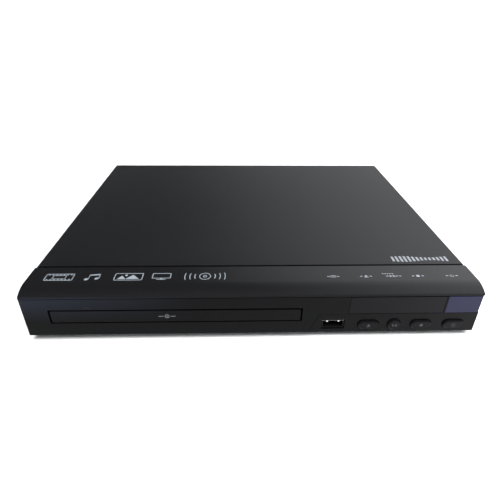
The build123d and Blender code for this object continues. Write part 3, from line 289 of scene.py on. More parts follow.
@dataclass(frozen=True)
class Metal(Finish):
    """Bare or plated metal with drawn lines along one axis."""

    colour: Colour = (0.55, 0.56, 0.57)
    roughness: float = 0.32
    lines: tuple[float, float, float] = (1.0, 12.0, 12.0)
    scale: float = 260.0

    def inputs(self, sheet: NodeSheet) -> dict:
        """Inputs that change over the metal."""
        drawn = sheet.noise(self.scale, 4.0, 0.6, self.lines)
        patch = sheet.noise(60.0, 2.0)
        dark = tuple(c * 0.78 for c in self.colour)
        return {
            "Base Color": sheet.blend(drawn, dark, self.colour),
            "Roughness": drawn * 0.16 + patch * 0.08 + (self.roughness - 0.12),
            "Normal": sheet.bump(drawn, 0.06, 0.0001),
        }

    def fixed(self) -> dict:
        """Inputs that are the same all over."""
        return {"Metallic": 1.0}


@dataclass(frozen=True)
class Rubber(Finish):
    """Dull black rubber with a little bloom."""

    specular: float = field(default=0.35, kw_only=True)
    colour: Colour = (0.012, 0.012, 0.012)

    def inputs(self, sheet: NodeSheet) -> dict:
        """Inputs that change over the rubber."""
        bloom = sheet.noise(180.0, 4.0)
        return {
            "Base Color": sheet.blend(bloom.above(0.55, 0.3), self.colour, (0.03, 0.03, 0.03)),
            "Roughness": bloom * 0.2 + 0.62,
            "Normal": sheet.bump(sheet.noise(1500.0, 2.0), 0.12, 0.0002),
        }


@dataclass(frozen=True)
class CircuitBoard(Finish):
    """Etched board: copper tracks under solder mask, with plated holes."""

    mask: Colour = (0.012, 0.085, 0.03)
    track: Colour = (0.03, 0.17, 0.06)
    pitch: float = 2.2 * MM

    def inputs(self, sheet: NodeSheet) -> dict:
        """Inputs that change over the board."""
        x, y, z = sheet.axes()
        wander = sheet.noise(90.0, 1.0) * 3.0
        along = ((x / self.pitch + wander).fraction() - 0.5).size()
        across = ((y / self.pitch + wander + z / self.pitch).fraction() - 0.5).size()
        choose = sheet.noise(55.0, 0.0).above(0.5, 0.02)
        lines = along * choose + across * (1.0 - choose)
        tracks = 1.0 - lines.above(0.17, 0.05)
        cell = ((x / (self.pitch * 2)).fraction() - 0.5) ** 2.0 + ((y / (self.pitch * 2)).fraction() - 0.5) ** 2.0
        pads = (1.0 - cell.above(0.012, 0.006)) * sheet.noise(70.0, 0.0).above(0.58, 0.02)
        base = sheet.blend(tracks * 0.8, self.mask, self.track)
        return {
            "Base Color": sheet.blend(pads, base, (0.55, 0.55, 0.52)),
            "Roughness": 0.42 - pads * 0.15,
            "Metallic": pads,
            "Normal": sheet.bump(tracks + pads, 0.2, 0.00006),
        }


@dataclass(frozen=True)
class SmokedGloss(Finish):
    """Polished dark acrylic of the front windows."""

    colour: Colour = (0.004, 0.004, 0.006)
    roughness: float = 0.06

    def inputs(self, sheet: NodeSheet) -> dict:
        """Inputs that change over the window."""
        haze = sheet.noise(40.0, 3.0)
        return {
            "Base Color": sheet.blend(haze, self.colour, tuple(c * 1.5 for c in self.colour)),
            "Roughness": haze * 0.04 + self.roughness,
        }


@dataclass(frozen=True)
class PadPrint(Finish):
    """Thin pale ink of the printed marks, slightly broken at small scale."""

    specular: float = field(default=0.3, kw_only=True)
    colour: Colour = (0.30, 0.34, 0.38)
    roughness: float = 0.55

    def inputs(self, sheet: NodeSheet) -> dict:
        """Inputs that change over the ink."""
        thin = sheet.noise(3000.0, 2.0)
        return {
            "Base Color": sheet.blend(thin, tuple(c * 0.8 for c in self.colour), self.colour),
            "Roughness": thin * 0.1 + self.roughness,
        }


class Ink(Enum):
    """The printed inks on the player."""

    STRIP = PadPrint("strip_ink")
    EMBLEM = PadPrint("emblem_ink", (0.25, 0.26, 0.29), 0.45)
    LABEL = PadPrint("label_ink", (0.27, 0.28, 0.31))
    CAP = PadPrint("cap_ink", (0.045, 0.046, 0.05))
    DOOR = PadPrint("door_ink", (0.26, 0.26, 0.27))


# ---------------------------------------------------------------- mesh making
def link(name: str, data: bpy.types.ID) -> bpy.types.Object:
    """New object in the scene with the given data."""
    made = bpy.data.objects.new(name, data)
    bpy.context.scene.collection.objects.link(made)
    return made


def add_object(name: str, points: np.ndarray, faces: Iterable[Sequence[int]]) -> bpy.types.Object:
    """Put points and faces in a new mesh object at the origin.

    Args:
        name: the object's name.
        points: n by 3 array, in metres.
        faces: corner numbers of each face.

    Returns:
        The new object, linked to the scene.
    """
    mesh = bpy.data.meshes.new(name)
    mesh.from_pydata(np.asarray(points, float).tolist(), [], [list(map(int, face)) for face in faces])
    mesh.update()
    return link(name, mesh)


def prism(outline: np.ndarray, height: float) -> Shape:
    """Solid plate of a convex or star-shaped outline.

    The side wall is the grid p(i, j) = outline[i] + (0, 0, j * height) with j in (0, 1); each end is a fan
    from the outline's mean point.

    Args:
        outline: n by 2 array, anticlockwise.
        height: thickness of the plate.

    Returns:
        Points and faces.
    """
    count = len(outline)
    low = np.column_stack([outline, np.zeros(count)])
    high = np.column_stack([outline, np.full(count, height)])
    centre = outline.mean(0)
    caps = np.array([[*centre, 0.0], [*centre, height]])
    ring = np.arange(count)
    after = np.roll(ring, -1)
    sides = np.column_stack([ring, after, after + count, ring + count])
    floor = np.column_stack([after, ring, np.full(count, 2 * count)])
    roof = np.column_stack([ring + count, after + count, np.full(count, 2 * count + 1)])
    return np.vstack([low, high, caps]), sides.tolist() + floor.tolist() + roof.tolist()


def band(path: np.ndarray, width: float, height: float, closed: bool = True) -> Shape:
    """Stroke of even width along a path, as a solid with a rectangular section.

    Each path point p with unit normal n gives four corners p +- n * width / 2 at z = 0 and z = height, with n
    lengthened at corners by 1 / cos(half the turn) so that the stroke keeps its width.

    Args:
        path: n by 2 array.
        width: width of the stroke.
        height: thickness of the stroke.
        closed: whether the path comes back to its start.

    Returns:
        Points and faces.
    """
    count = len(path)
    ahead = np.roll(path, -1, 0) - path
    behind = path - np.roll(path, 1, 0)
    if not closed:
        ahead[-1] = behind[-1]
        behind[0] = ahead[0]
    ahead /= np.linalg.norm(ahead, axis=1, keepdims=True)
    behind /= np.linalg.norm(behind, axis=1, keepdims=True)
    normals = np.column_stack([-(ahead + behind)[:, 1], (ahead + behind)[:, 0]])
    normals /= np.linalg.norm(normals, axis=1, keepdims=True)
    edge = np.column_stack([-ahead[:, 1], ahead[:, 0]])
    normals /= np.clip((normals * edge).sum(1), 0.4, 1.0)[:, None]
    left, right = path + normals * width / 2, path - normals * width / 2
    rows = []
    for flat, level in ((right, 0.0), (right, height), (left, height), (left, 0.0)):
        rows.append(np.column_stack([flat, np.full(count, level)]))
    points = np.vstack(rows)
    spans = count if closed else count - 1
    step = np.arange(spans)
    after = (step + 1) % count
    faces = []
    for row in range(4):
        other = (row + 1) % 4
        quad = np.column_stack([step + row * count, after + row * count, after + other * count, step + other * count])
        faces += quad.tolist()
    if not closed:
        faces.append([row * count for row in (3, 2, 1, 0)])
        faces.append([row * count + count - 1 for row in range(4)])
    return points, faces


def circle(radius: float, count: int = 40, centre: Point = (0.0, 0.0), start: float = 0.0,
           sweep: float = 2 * math.pi) -> np.ndarray:
    """Points on a circle or an arc: centre + radius * (cos a, sin a), a from start over the sweep."""
    whole = abs(sweep - 2 * math.pi) < 1e-9
    angles = start + np.linspace(0, sweep, count, endpoint=not whole)
    return np.column_stack([centre[0] + radius * np.cos(angles), centre[1] + radius * np.sin(angles)])


def rounded_box(width: float, height: float, radius: float, centre: Point = (0.0, 0.0), steps: int = 5) -> np.ndarray:
    """Rectangle with rounded corners: four quarter circles joined in order."""
    corners = []
    for turn, (sx, sy) in enumerate(((1, 1), (-1, 1), (-1, -1), (1, -1))):
        middle = (centre[0] + sx * (width / 2 - radius), centre[1] + sy * (height / 2 - radius))
        corners.append(circle(radius, steps, middle, turn * math.pi / 2, math.pi / 2))
    return np.vstack(corners)


@dataclass
class Glyph:
    """A small printed mark, gathered from strokes and plates in millimetres."""

    height: float = 0.03
    solids: list[Shape] = field(default_factory=list)

    def plate(self, outline: Sequence[Point] | np.ndarray) -> None:
        """Add a filled outline."""
        self.solids.append(prism(np.asarray(outline, float), self.height))

    def stroke(self, path: Sequence[Point] | np.ndarray, width: float, closed: bool = True) -> None:
        """Add a line of even width."""
        self.solids.append(band(np.asarray(path, float), width, self.height, closed))

    def bar(self, centre: Point, width: float, height: float) -> None:
        """Add a plain rectangle."""
        x, y = centre
        w, h = width / 2, height / 2
        self.plate([(x - w, y - h), (x + w, y - h), (x + w, y + h), (x - w, y + h)])

    def grown(self, size: float) -> "Glyph":
        """The same mark, larger but no thicker."""
        return Glyph(self.height, [(points * (size, size, 1), faces) for points, faces in self.solids])

    def print_on(self, name: str, place: Matrix, ink: "Ink", body: str, slot: str) -> None:
        """Turn the gathered solids into one printed piece.

        Args:
            name: the piece's name.
            place: turns the mark's own axes, in metres, into the player's.
            ink: what it is printed with.
            body: the body it moves with.
            slot: the record's material slot.
        """
        points, faces = merged(self.solids)
        turn = np.array(place)
        deliver(name, (points * MM @ turn[:3, :3].T + turn[:3, 3], faces), body, slot, finish=ink.value)


def recalculate(piece: bpy.types.Object) -> None:
    """Point every face of a piece outwards."""
    shape = bmesh.new()
    shape.from_mesh(piece.data)
    bmesh.ops.recalc_face_normals(shape, faces=shape.faces)
    shape.to_mesh(piece.data)
    shape.free()


def centre_of(node: str) -> np.ndarray:
    """Middle of a construction node's box."""
    return np.asarray(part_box(node), float).mean(0)


def seam() -> float:
    """Y of the joint between the front moulding and the cover."""
    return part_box("front_bezel")[0][1] + SEAM_DEPTH


def on_top(x: float, y: float, z: float) -> Matrix:
    """Place for a mark on a level face, read from the front, in metres."""
    return Matrix.Translation((x, y, z))


def on_front(x: float, y: float, z: float) -> Matrix:
    """Place for a mark on an upright front face, read from the front, in metres."""
    return Matrix.Translation((x, y, z)) @ Matrix.Rotation(math.pi / 2, 4, "X")


def softened(node: str, edge: float, segments: int = 3) -> bpy.types.Object:
    """Copy a construction node and round the edges that turn by more than SHARP.

    Args:
        node: the construction node.
        edge: width of the rounding, in metres.
        segments: faces across each rounding.

    Returns:
        A new object with the rounded mesh, at the origin.
    """
    source = bpy.data.objects[node]
    mesh = source.data.copy()
    shape = bmesh.new()
    shape.from_mesh(mesh)
    bmesh.ops.remove_doubles(shape, verts=shape.verts, dist=1e-6)
    shape.to_mesh(mesh)
    shape.free()
    mesh.materials.clear()
    made = link(f"{node}_finished", mesh)
    rounding = made.modifiers.new("rounding", "BEVEL")
    rounding.width = edge
    rounding.segments = segments
    rounding.limit_method = "ANGLE"
    rounding.angle_limit = SHARP
    rounding.miter_outer = "MITER_ARC"
    rounding.use_clamp_overlap = True
    weigh = made.modifiers.new("weigh", "WEIGHTED_NORMAL")
    weigh.keep_sharp = True
    for polygon in mesh.polygons:
        polygon.use_smooth = True
    apply_all(made)
    return made


def apply_all(piece: bpy.types.Object) -> None:
    """Replace a piece's mesh by what its modifiers make of it."""
    bpy.context.view_layer.update()
    graph = bpy.context.evaluated_depsgraph_get()
    final = bpy.data.meshes.new_from_object(piece.evaluated_get(graph))
    piece.modifiers.clear()
    piece.data = final


def wear(piece: bpy.types.Object, material: bpy.types.Material) -> bpy.types.Object:
    """Give a piece one material."""
    piece.data.materials.clear()
    piece.data.materials.append(material)
    return piece


@cache
def reuse(finish: Finish) -> bpy.types.Material:
    """Material of a finish, made the first time that it is asked for."""
    return finish.material()


def put(piece: bpy.types.Object, body: str, slot: str, *nodes: str) -> None:
    """Tell the frame where a finished piece belongs.

    Args:
        piece: the finished object.
        body: the body it moves with.
        slot: the record's material slot; not used.
        nodes: construction nodes that it stands for.
    """
    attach(piece, body)
    if nodes:
        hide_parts(*nodes)
    log.info("%s rides on %s, %d faces", piece.name, body, len(piece.data.polygons))


def deliver(name: str, shape: Shape, body: str, slot: str, *nodes: str, finish: Finish | None = None,
            smooth: bool = False) -> None:
    """Make a closed piece from points and faces, finish it and put it in the frame.

    Args:
        name: the piece's name.
        shape: its points, in metres, and faces.
        body: the body it moves with.
        slot: the record's material slot.
        nodes: construction nodes that it stands for.
        finish: its finish, where that isn't the slot's.
        smooth: whether its faces are shaded smooth.
    """
    made = add_object(name, *shape)
    recalculate(made)
    for polygon in made.data.polygons:
        polygon.use_smooth = smooth
    put(wear(made, reuse(finish or FINISHES[slot])), body, slot, *nodes)


def refine(node: str, body: str, slot: str, edge: float, segments: int = 3) -> None:
    """Put a copy of a construction node, with rounded edges, in its place.

    Args:
        node: the construction node.
        body: the body it moves with.
        slot: the record's material slot.
        edge: width of the rounding, in metres.
        segments: faces across each rounding.
    """
    put(wear(softened(node, edge, segments), finish_of(node, slot)), body, slot, node)


def tube_faces(rows: int, count: int) -> list[list[int]]:
    """Faces of a tube of rings of points, with a fan at each end from the two poles that follow the rings."""
    step = np.arange(count)
    after = (step + 1) % count
    row = np.arange(rows - 1)[:, None] * count
    last = (rows - 1) * count
    quads = np.stack([row + step, row + count + step, row + count + after, row + after], -1).reshape(-1, 4)
    low = np.column_stack([np.full(count, rows * count), step, after])
    high = np.column_stack([np.full(count, rows * count + 1), last + after, last + step])
    return quads.tolist() + low.tolist() + high.tolist()


def turned(profile: Sequence[Point], centre: Sequence[float], count: int = 48) -> Shape:
    """Surface of revolution of a profile about an upright axis.

    p(i, j) = centre + (r[i] cos a[j], r[i] sin a[j], h[i]); the first and last radii are 0, so the shape is
    closed.

    Args:
        profile: (radius, height) pairs in metres, from the lower pole to the upper.
        centre: where the axis starts.
        count: steps around.

    Returns:
        Points and faces.
    """
    radii, heights = np.asarray(profile, float).T
    angles = np.linspace(0, 2 * math.pi, count, endpoint=False)
    inner = radii[1:-1]
    x = np.outer(inner, np.cos(angles))
    y = np.outer(inner, np.sin(angles))
    z = np.repeat(heights[1:-1, None], count, 1)
    local = np.vstack([np.stack([x, y, z], -1).reshape(-1, 3), [[0, 0, heights[0]], [0, 0, heights[-1]]]])
    return local + np.asarray(centre), tube_faces(len(inner), count)


def merged(shapes: Sequence[Shape]) -> Shape:
    """Join several point and face sets into one."""
    points, faces, count = [], [], 0
    for shape_points, shape_faces in shapes:
        points.append(shape_points)
        faces += [[index + count for index in face] for face in shape_faces]
        count += len(shape_points)
    return np.vstack(points), faces


# ---------------------------------------------------------------- studio
@dataclass(frozen=True)
class StudioPaper(Finish):
    """Matt white paper under and behind the player."""

    specular: float = field(default=0.1, kw_only=True)
    name: str = "studio_paper"

    def inputs(self, sheet: NodeSheet) -> dict:
        """Inputs that change over the paper."""
        cloud = sheet.noise(3.0, 2.0)
        return {
            "Base Color": sheet.blend(cloud, (0.86, 0.86, 0.86), (0.90, 0.90, 0.90)),
            "Roughness": cloud * 0.1 + 0.6,
        }


@dataclass(frozen=True)
class Surroundings:
    """Soft light by direction (x right, y away from the camera, z up); the camera itself sees plain white.

    Ahead of the camera the light is (right + flare + dim) * low, behind it there is one level all over, and near
    the horizon both run into white. Each pair holds the edge of a soft step and its blur.
    """

    tint: Colour = (0.95, 0.975, 1.0)
    white: float = 1.1
    overhead: float = 0.5
    right: Point = (0.10, 0.50)
    right_lean: float = 0.42
    right_level: float = 0.80
    flare: Point = (0.46, 0.16)
    flare_lean: float = 0.30
    flare_level: float = 0.25
    dim_level: float = 0.055
    low: Point = (0.44, 0.2)
    low_loss: float = 0.3
    front: Point = (-0.25, 0.4)
    back_level: float = 0.30
    horizon: Point = (0.07, 0.08)

    def build(self) -> None:
        """Make the world's light."""
        world = bpy.data.worlds.new("soft_surroundings")
        bpy.context.scene.world = world
        world.use_nodes = True
        sheet = NodeSheet(world.node_tree)
        x, y, z = sheet.split(sheet.node("ShaderNodeTexCoord", out="Generated"))
        overhead = (z - self.overhead).most(0.0)
        right = (x - overhead * self.right_lean).above(*self.right)
        flare = (x - overhead * self.flare_lean).above(*self.flare)
        front = y.above(*self.front)
        low = 1.0 - (1.0 - z.above(*self.low)) * self.low_loss
        soft = (right * self.right_level + flare * self.flare_level + self.dim_level) * low
        studio = soft * front + (1.0 - front) * self.back_level
        horizon = 1.0 - z.above(*self.horizon)
        lit = studio * (1.0 - horizon) + horizon * self.white
        seen = sheet.node("ShaderNodeLightPath", out="Is Camera Ray")
        level = lit * (1.0 - seen) + seen * self.white
        light = sheet.node("ShaderNodeBackground", {}, {"Color": self.tint, "Strength": level})
        sheet.close("ShaderNodeOutputWorld", light)


@dataclass
class Studio:
    """Pale floor, low backdrop, soft light and the photograph's camera."""

    camera_place: Sequence[float] = (-0.01027, -0.30148, 0.17291)
    pitch: float = 30.475
    yaw: float = 2.074
    roll: float = -0.773
    lens: float = 29.03
    sensor: float = 36.0
    clip: Point = (0.01, 60.0)
    floor_half: float = 7.0
    floor_stretch: float = 1.6
    backdrop_height: float = 0.9
    sweep_radius: float = 0.5
    sun_power: float = 4.4
    sun_width: float = math.radians(50)
    sun_tilt: Sequence[float] = (math.radians(14), math.radians(-12), 0)
    fill_power: float = 0.45
    fill_size: float = 0.12
    fill_place: Sequence[float] = (0.20, -0.17, 0.15)

    def build(self) -> None:
        """Make everything around the player."""
        self._floor()
        Surroundings().build()
        self._lamps()
        self._camera()

    def _floor(self) -> None:
        """Floor that sweeps up to a low backdrop: a line along X, carried along y, then a quarter circle, then z."""
        bend = np.linspace(0, math.pi / 2, 12)
        edge = self.floor_half - self.sweep_radius
        y = np.concatenate([[-self.floor_half], edge + self.sweep_radius * np.sin(bend), [self.floor_half]])
        z = np.concatenate([[0.0], self.sweep_radius * (1 - np.cos(bend)), [self.backdrop_height]])
        rows = len(y)
        x = np.array([-1, 1]) * self.floor_half * self.floor_stretch
        points = np.stack([np.tile(x, rows), np.repeat(y, 2), np.repeat(z, 2)], -1)
        row = np.arange(rows - 1) * 2
        floor = add_object("studio_floor", points, np.column_stack([row, row + 1, row + 3, row + 2]).tolist())
        for polygon in floor.data.polygons:
            polygon.use_smooth = True
        wear(floor, reuse(StudioPaper()))

    def _lamp(self, name: str, kind: str, power: float) -> bpy.types.Object:
        """Lamp that throws no highlights."""
        lamp = bpy.data.lights.new(name, kind)
        lamp.energy = power
        holder = link(name, lamp)
        holder.visible_glossy = False
        return holder

    def _lamps(self) -> None:
        """Broad light from above and a little from the front left, and a small low one by the controls."""
        key = self._lamp("soft_key", "SUN", self.sun_power)
        key.data.angle = self.sun_width
        key.rotation_euler = self.sun_tilt
        fill = self._lamp("right_fill", "AREA", self.fill_power)
        fill.data.size = self.fill_size
        fill.location = self.fill_place
        fill.visible_camera = False

    def _camera(self) -> None:
        """Camera fitted to the photograph, without shift."""
        pitch, yaw, roll = (math.radians(a) for a in (self.pitch, self.yaw, self.roll))
        ahead = Vector((math.sin(yaw) * math.cos(pitch), math.cos(yaw) * math.cos(pitch), -math.sin(pitch)))
        right = Vector((math.cos(yaw), -math.sin(yaw), 0))
        down = ahead.cross(right)
        across = right * math.cos(roll) + down * math.sin(roll)
        below = down * math.cos(roll) - right * math.sin(roll)
        turn = Matrix((across, -below, -ahead)).transposed().to_4x4()
        lens = bpy.data.cameras.new("photo_camera")
        lens.lens = self.lens
        lens.sensor_width = self.sensor
        lens.clip_start, lens.clip_end = self.clip
        holder = link("photo_camera", lens)
        holder.matrix_world = Matrix.Translation(self.camera_place) @ turn
        bpy.context.scene.camera = holder


# ---------------------------------------------------------------- finishes by slot
@dataclass(frozen=True)
class FrontPlastic(Moulding):
    """Black front moulding: satin below the crease, polished on the rolled top, with painted shade in its recesses
    and grooves and a painted bluish reflection on the left of its face.
    """

    crease: float = 31.5 * MM
    recess: float = -113.95 * MM
    rolled: Colour = (0.0070, 0.0070, 0.0080)
    # painted shade colour for the recesses and the groove over the button panel
    painted_shade: Colour = (0.0006, 0.0006, 0.0007)
    # painted reflection: bluish tint on the left of the face below the crease
    painted_reflection: Colour = (0.015, 0.018, 0.028)
    reflection_x: Point = (-0.085, 0.1)
    reflection_z: Point = (0.021, 0.014)
    panel_top: float = 18.0 * MM
    panel_start: float = 39.2 * MM
    panel_slope: float = 7.2 / 14.5
    line_half: float = 0.3 * MM

    def _panel_line(self, across: Wire, up: Wire) -> Wire:
        """Painted shade line in the groove over the button panel: |z - z0| along its top, |x - x0 - k (z - z0)| down
        its slant.
        """
        top = 1.0 - (up - self.panel_top).size().above(self.line_half, 0.15 * MM)
        slant = (across - self.panel_start - (up - self.panel_top) * self.panel_slope).size()
        down = (1.0 - slant.above(self.line_half, 0.15 * MM)) * (1.0 - up.above(self.panel_top, 0.1 * MM))
        return (top * across.above(self.panel_start, 0.1 * MM)).most(down)

    def inputs(self, sheet: NodeSheet) -> dict:
        """Inputs that change over the moulding."""
        across, along, up = sheet.axes()
        cloud = sheet.noise(35.0, 2.0)
        polished = up.above(self.crease, 1.2 * MM)
        below = 1.0 - polished
        # painted reflection: mask for the bluish tint on the left of the face below the crease
        reflection_mask = (1.0 - across.above(*self.reflection_x)) * up.above(*self.reflection_z) * below
        # painted shade: faces set back from the front face are darkened and made rougher
        recess = along.above(self.recess, 0.2 * MM) * below
        dark = sheet.blend(cloud, self.colour, tuple(c * self.lift for c in self.colour))
        gloss = sheet.blend(polished, dark, self.rolled)
        face = sheet.blend(reflection_mask, gloss, self.painted_reflection)
        line = self._panel_line(across, up)
        return {
            # painted shade over the recesses and the panel groove
            "Base Color": sheet.blend(recess.most(line), face, self.painted_shade),
            "Roughness": cloud * 0.05 + self.roughness - polished * 0.06 + recess * 0.6,
            "Coat Weight": polished,
            "Normal": sheet.bump(sheet.noise(self.grain, 1.0), self.grain_depth, 0.0001),
        }

    def fixed(self) -> dict:
        """Inputs that are the same all over."""
        return super().fixed() | {"Coat Roughness": 0.22}


@dataclass(frozen=True)
class JackColours(Finish):
    """Glossy inserts, coloured by where each socket sits along X."""

    name: str = "jack_inserts"
    first_edge: float = 0.091
    second_edge: float = 0.105

    def inputs(self, sheet: NodeSheet) -> dict:
        """Inputs that change over the insert."""
        across, _, _ = sheet.axes()
        cloud = sheet.noise(300.0, 2.0)
        pair = sheet.blend(across.above(self.first_edge, 0.001), (0.72, 0.45, 0.02), (0.75, 0.75, 0.72))
        return {
            "Base Color": sheet.blend(across.above(self.second_edge, 0.001), pair, (0.55, 0.02, 0.02)),
            "Roughness": cloud * 0.1 + 0.25,
        }


@dataclass(frozen=True)
class FlatCable(Finish):
    """White flat cable with its conductors showing as fine lines."""

    name: str = "flat_cable"
    pitch: float = 1.0 * MM

    def inputs(self, sheet: NodeSheet) -> dict:
        """Inputs that change over the cable."""
        across, _, _ = sheet.axes()
        wires = ((across / self.pitch).fraction() - 0.5).size().above(0.28, 0.08)
        return {
            "Base Color": sheet.blend(wires, (0.66, 0.66, 0.63), (0.8, 0.8, 0.78)),
            "Roughness": wires * 0.15 + 0.4,
            "Normal": sheet.bump(wires, 0.3, 0.0001),
        }


@dataclass(frozen=True)
class SocketShell(Finish):
    """Nickel shell of the front socket: painted shade darkens it all over but for a painted highlight on its upper
    lip.
    """

    specular: float = field(default=0.2, kw_only=True)
    name: str = "socket_shell"
    lip: float = 12.35 * MM
    # painted highlight on the upper lip, and painted shade over the rest of the shell
    painted_highlight: Colour = (0.62, 0.62, 0.70)
    shell_painted_shade: Colour = (0.012, 0.012, 0.013)

    def inputs(self, sheet: NodeSheet) -> dict:
        """Inputs that change over the shell."""
        _, _, up = sheet.axes()
        drawn = sheet.noise(500.0, 3.0)
        # painted highlight above the lip's level; below it the shell is painted shade
        highlight_mask = up.above(self.lip, 0.25 * MM)
        return {
            "Base Color": sheet.blend(highlight_mask, self.shell_painted_shade, self.painted_highlight),
            "Roughness": drawn * 0.15 + 0.35,
            "Metallic": highlight_mask * 0.6 + 0.4,
        }


FINISHES = {
    "zinc_steel": Metal("zinc_steel", (0.42, 0.43, 0.44), 0.38, (1.0, 9.0, 9.0), 120.0),
    "black_paint": Paint("black_paint"),
    "black_plastic": FrontPlastic("black_plastic", (0.0031, 0.0031, 0.0035), 0.24, specular=0.06),
    "smoked_window": SmokedGloss("smoked_window", (0.0040, 0.0038, 0.0048), 0.08, specular=0.075),
    "button_plastic": Moulding("button_plastic", (0.0032, 0.0032, 0.0040), 0.30, specular=0.065),
    "switch_black": Moulding("switch_black", (0.01, 0.01, 0.011), 0.5, 1400.0, 0.15),
    "circuit_green": CircuitBoard("circuit_green"),
    "circuit_brown": CircuitBoard("circuit_brown", (0.22, 0.13, 0.045), (0.30, 0.19, 0.08)),
    "display_black": SmokedGloss("display_black", (0.004, 0.006, 0.008), 0.12),
    "plated_shell": Metal("plated_shell", (0.62, 0.62, 0.60), 0.22, (12.0, 1.0, 12.0), 300.0),
    "tray_black": Moulding("tray_black", (0.009, 0.009, 0.0095), 0.42, 1800.0, 0.22),
    "frame_black": Moulding("frame_black", (0.011, 0.011, 0.012), 0.48, 1500.0, 0.25),
    "white_gear": Moulding("white_gear", (0.66, 0.65, 0.60), 0.42, 900.0, 0.05, lift=1.08),
    "belt_rubber": Rubber("belt_rubber"),
    "motor_steel": Metal("motor_steel", (0.52, 0.52, 0.52), 0.3, (12.0, 12.0, 1.0), 220.0),
    "deck_steel": Metal("deck_steel", (0.58, 0.59, 0.60), 0.34),
    "rod_steel": Metal("rod_steel", (0.66, 0.66, 0.66), 0.18, (12.0, 1.0, 12.0), 400.0),
    "sled_metal": Metal("sled_metal", (0.28, 0.28, 0.30), 0.5, (1.0, 1.0, 1.0), 900.0),
    "lens_glass": SmokedGloss("lens_glass", (0.05, 0.09, 0.28), 0.03, specular=0.9),
    "capacitor_sleeve": SmokedGloss("capacitor_sleeve", (0.012, 0.012, 0.05), 0.25),
    "transformer_tape": Moulding("transformer_tape", (0.62, 0.46, 0.06), 0.4, 700.0, 0.1, lift=1.1),
    "heatsink_metal": Metal("heatsink_metal", (0.5, 0.5, 0.52), 0.4, (12.0, 12.0, 1.0)),
    "phono_colours": JackColours(),
    "ribbon_white": FlatCable(),
    "screw_black": Paint("screw_black", (0.01, 0.01, 0.011), 0.4),
}

OWN_FINISHES = {
    "sensor_window": SmokedGloss("sensor_filter", (0.0125, 0.013, 0.031), 0.1, specular=0.10),
    "usb_socket": SocketShell(),
}


def finish_of(node: str, slot: str) -> bpy.types.Material:
    """Material of a node: its own finish, or else that of its slot."""
    return reuse(OWN_FINISHES.get(node, FINISHES[slot]))


def dress_nodes(frame: dict) -> None:
    """Give every construction node its finish."""
    for row in frame["record"]["subparts"]:
        node = frame["nodes"][row["node"]]
        material = finish_of(row["node"], row["material_slot"])
        slots = node.material_slots
        if not len(slots):
            node.data.materials.append(material)
        for slot in slots:
            slot.material = material
        log.info("%s wears %s", row["node"], material.name)


# ---------------------------------------------------------------- pieces
@dataclass
class CaseShell:
    """Painted cover, feet and the screws that hold the cover."""

    edge: float = 0.25 * MM
    foot_edge: float = 0.7 * MM
    head_radius: float = 2.7 * MM
    head_height: float = 1.6 * MM
    cross_width: float = 0.55 * MM
    cross_length: float = 2.6 * MM
    cross_depth: float = 0.9 * MM
    shank_share: float = 0.45
    shank_length: float = 5.0 * MM
    tip_length: float = 0.2 * MM
    side_zone: float = 2.0 * MM
    side_step: float = 0.1 * MM
    hem_zone: float = 0.6 * MM
    seam_open: float = 1.3 * MM

    def build(self) -> None:
        """Finish the cover, the feet and the screws."""
        cover = wear(softened("top_cover", self.edge), reuse(FINISHES["black_paint"]))
        self._meet_moulding(cover)
        put(cover, "player", "black_paint", "top_cover")
        refine("rubber_feet", "player", "belt_rubber", self.foot_edge)
        self._screws()

    def _meet_moulding(self, cover: bpy.types.Object) -> None:
        """Take the cover's sides out to the moulding's ends, and its front edge back from the seam."""
        low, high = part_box("top_cover")
        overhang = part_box("front_bezel")[1][0] - high[0] - self.side_step
        for vertex in cover.data.vertices:
            if abs(vertex.co.x) > high[0] - self.side_zone:
                vertex.co.x += math.copysign(overhang, vertex.co.x)
            if vertex.co.y < low[1] + self.hem_zone and vertex.co.z > high[2] - self.side_zone:
                vertex.co.y += self.seam_open

    def _screws(self) -> None:
        """Domed screw heads with a cross recess, at the three places of the construction screws."""
        low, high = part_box("cover_screws")
        level = (low[2] + high[2]) / 2
        seat = high[1] - self.head_height
        heads = []
        span = high[0] - low[0] - 2 * self.head_radius
        for share in (0.0, 0.5, 1.0):
            centre = (low[0] + self.head_radius + span * share, seat, level)
            heads.append(self._head(centre))
        deliver("cover_screw_heads", merged(heads), "player", "screw_black", "cover_screws")

    def _head(self, centre: Sequence[float]) -> Shape:
        """One head as a polar grid.

        The height over the seat is h(r) = H (1 - (r / R)^4 / 3) minus the depth of the cross where either arm's
        half width is nearer than the distance across it; the rim drops to the seat and runs on as the shank.

        Args:
            centre: middle of the seat.

        Returns:
            Points and faces.
        """
        rings, count = 16, 64
        radius = np.linspace(0, 1, rings)[1:, None] * self.head_radius
        angle = np.linspace(0, 2 * math.pi, count, endpoint=False)[None, :]
        x, z = radius * np.cos(angle), radius * np.sin(angle)
        dome = self.head_height * (1 - (radius / self.head_radius) ** 4 / 3)
        arm = np.minimum(np.abs(x), np.abs(z)) < self.cross_width / 2
        reach = np.maximum(np.abs(x), np.abs(z)) < self.cross_length / 2
        height = dome - self.cross_depth * (arm & reach)
        top = np.stack([x, height, z], -1).reshape(-1, 3)
        rim = top[-count:] * (1, 0, 1)
        shank = rim * (self.shank_share, 0, self.shank_share)
        tip = shank - (0, self.shank_length, 0)
        poles = np.array([[0, self.head_height - self.cross_depth, 0], [0, -self.shank_length - self.tip_length, 0]])
        points = np.vstack([top, rim, shank, tip, poles]) + np.asarray(centre)
        return points, tube_faces(rings - 1 + 3, count)


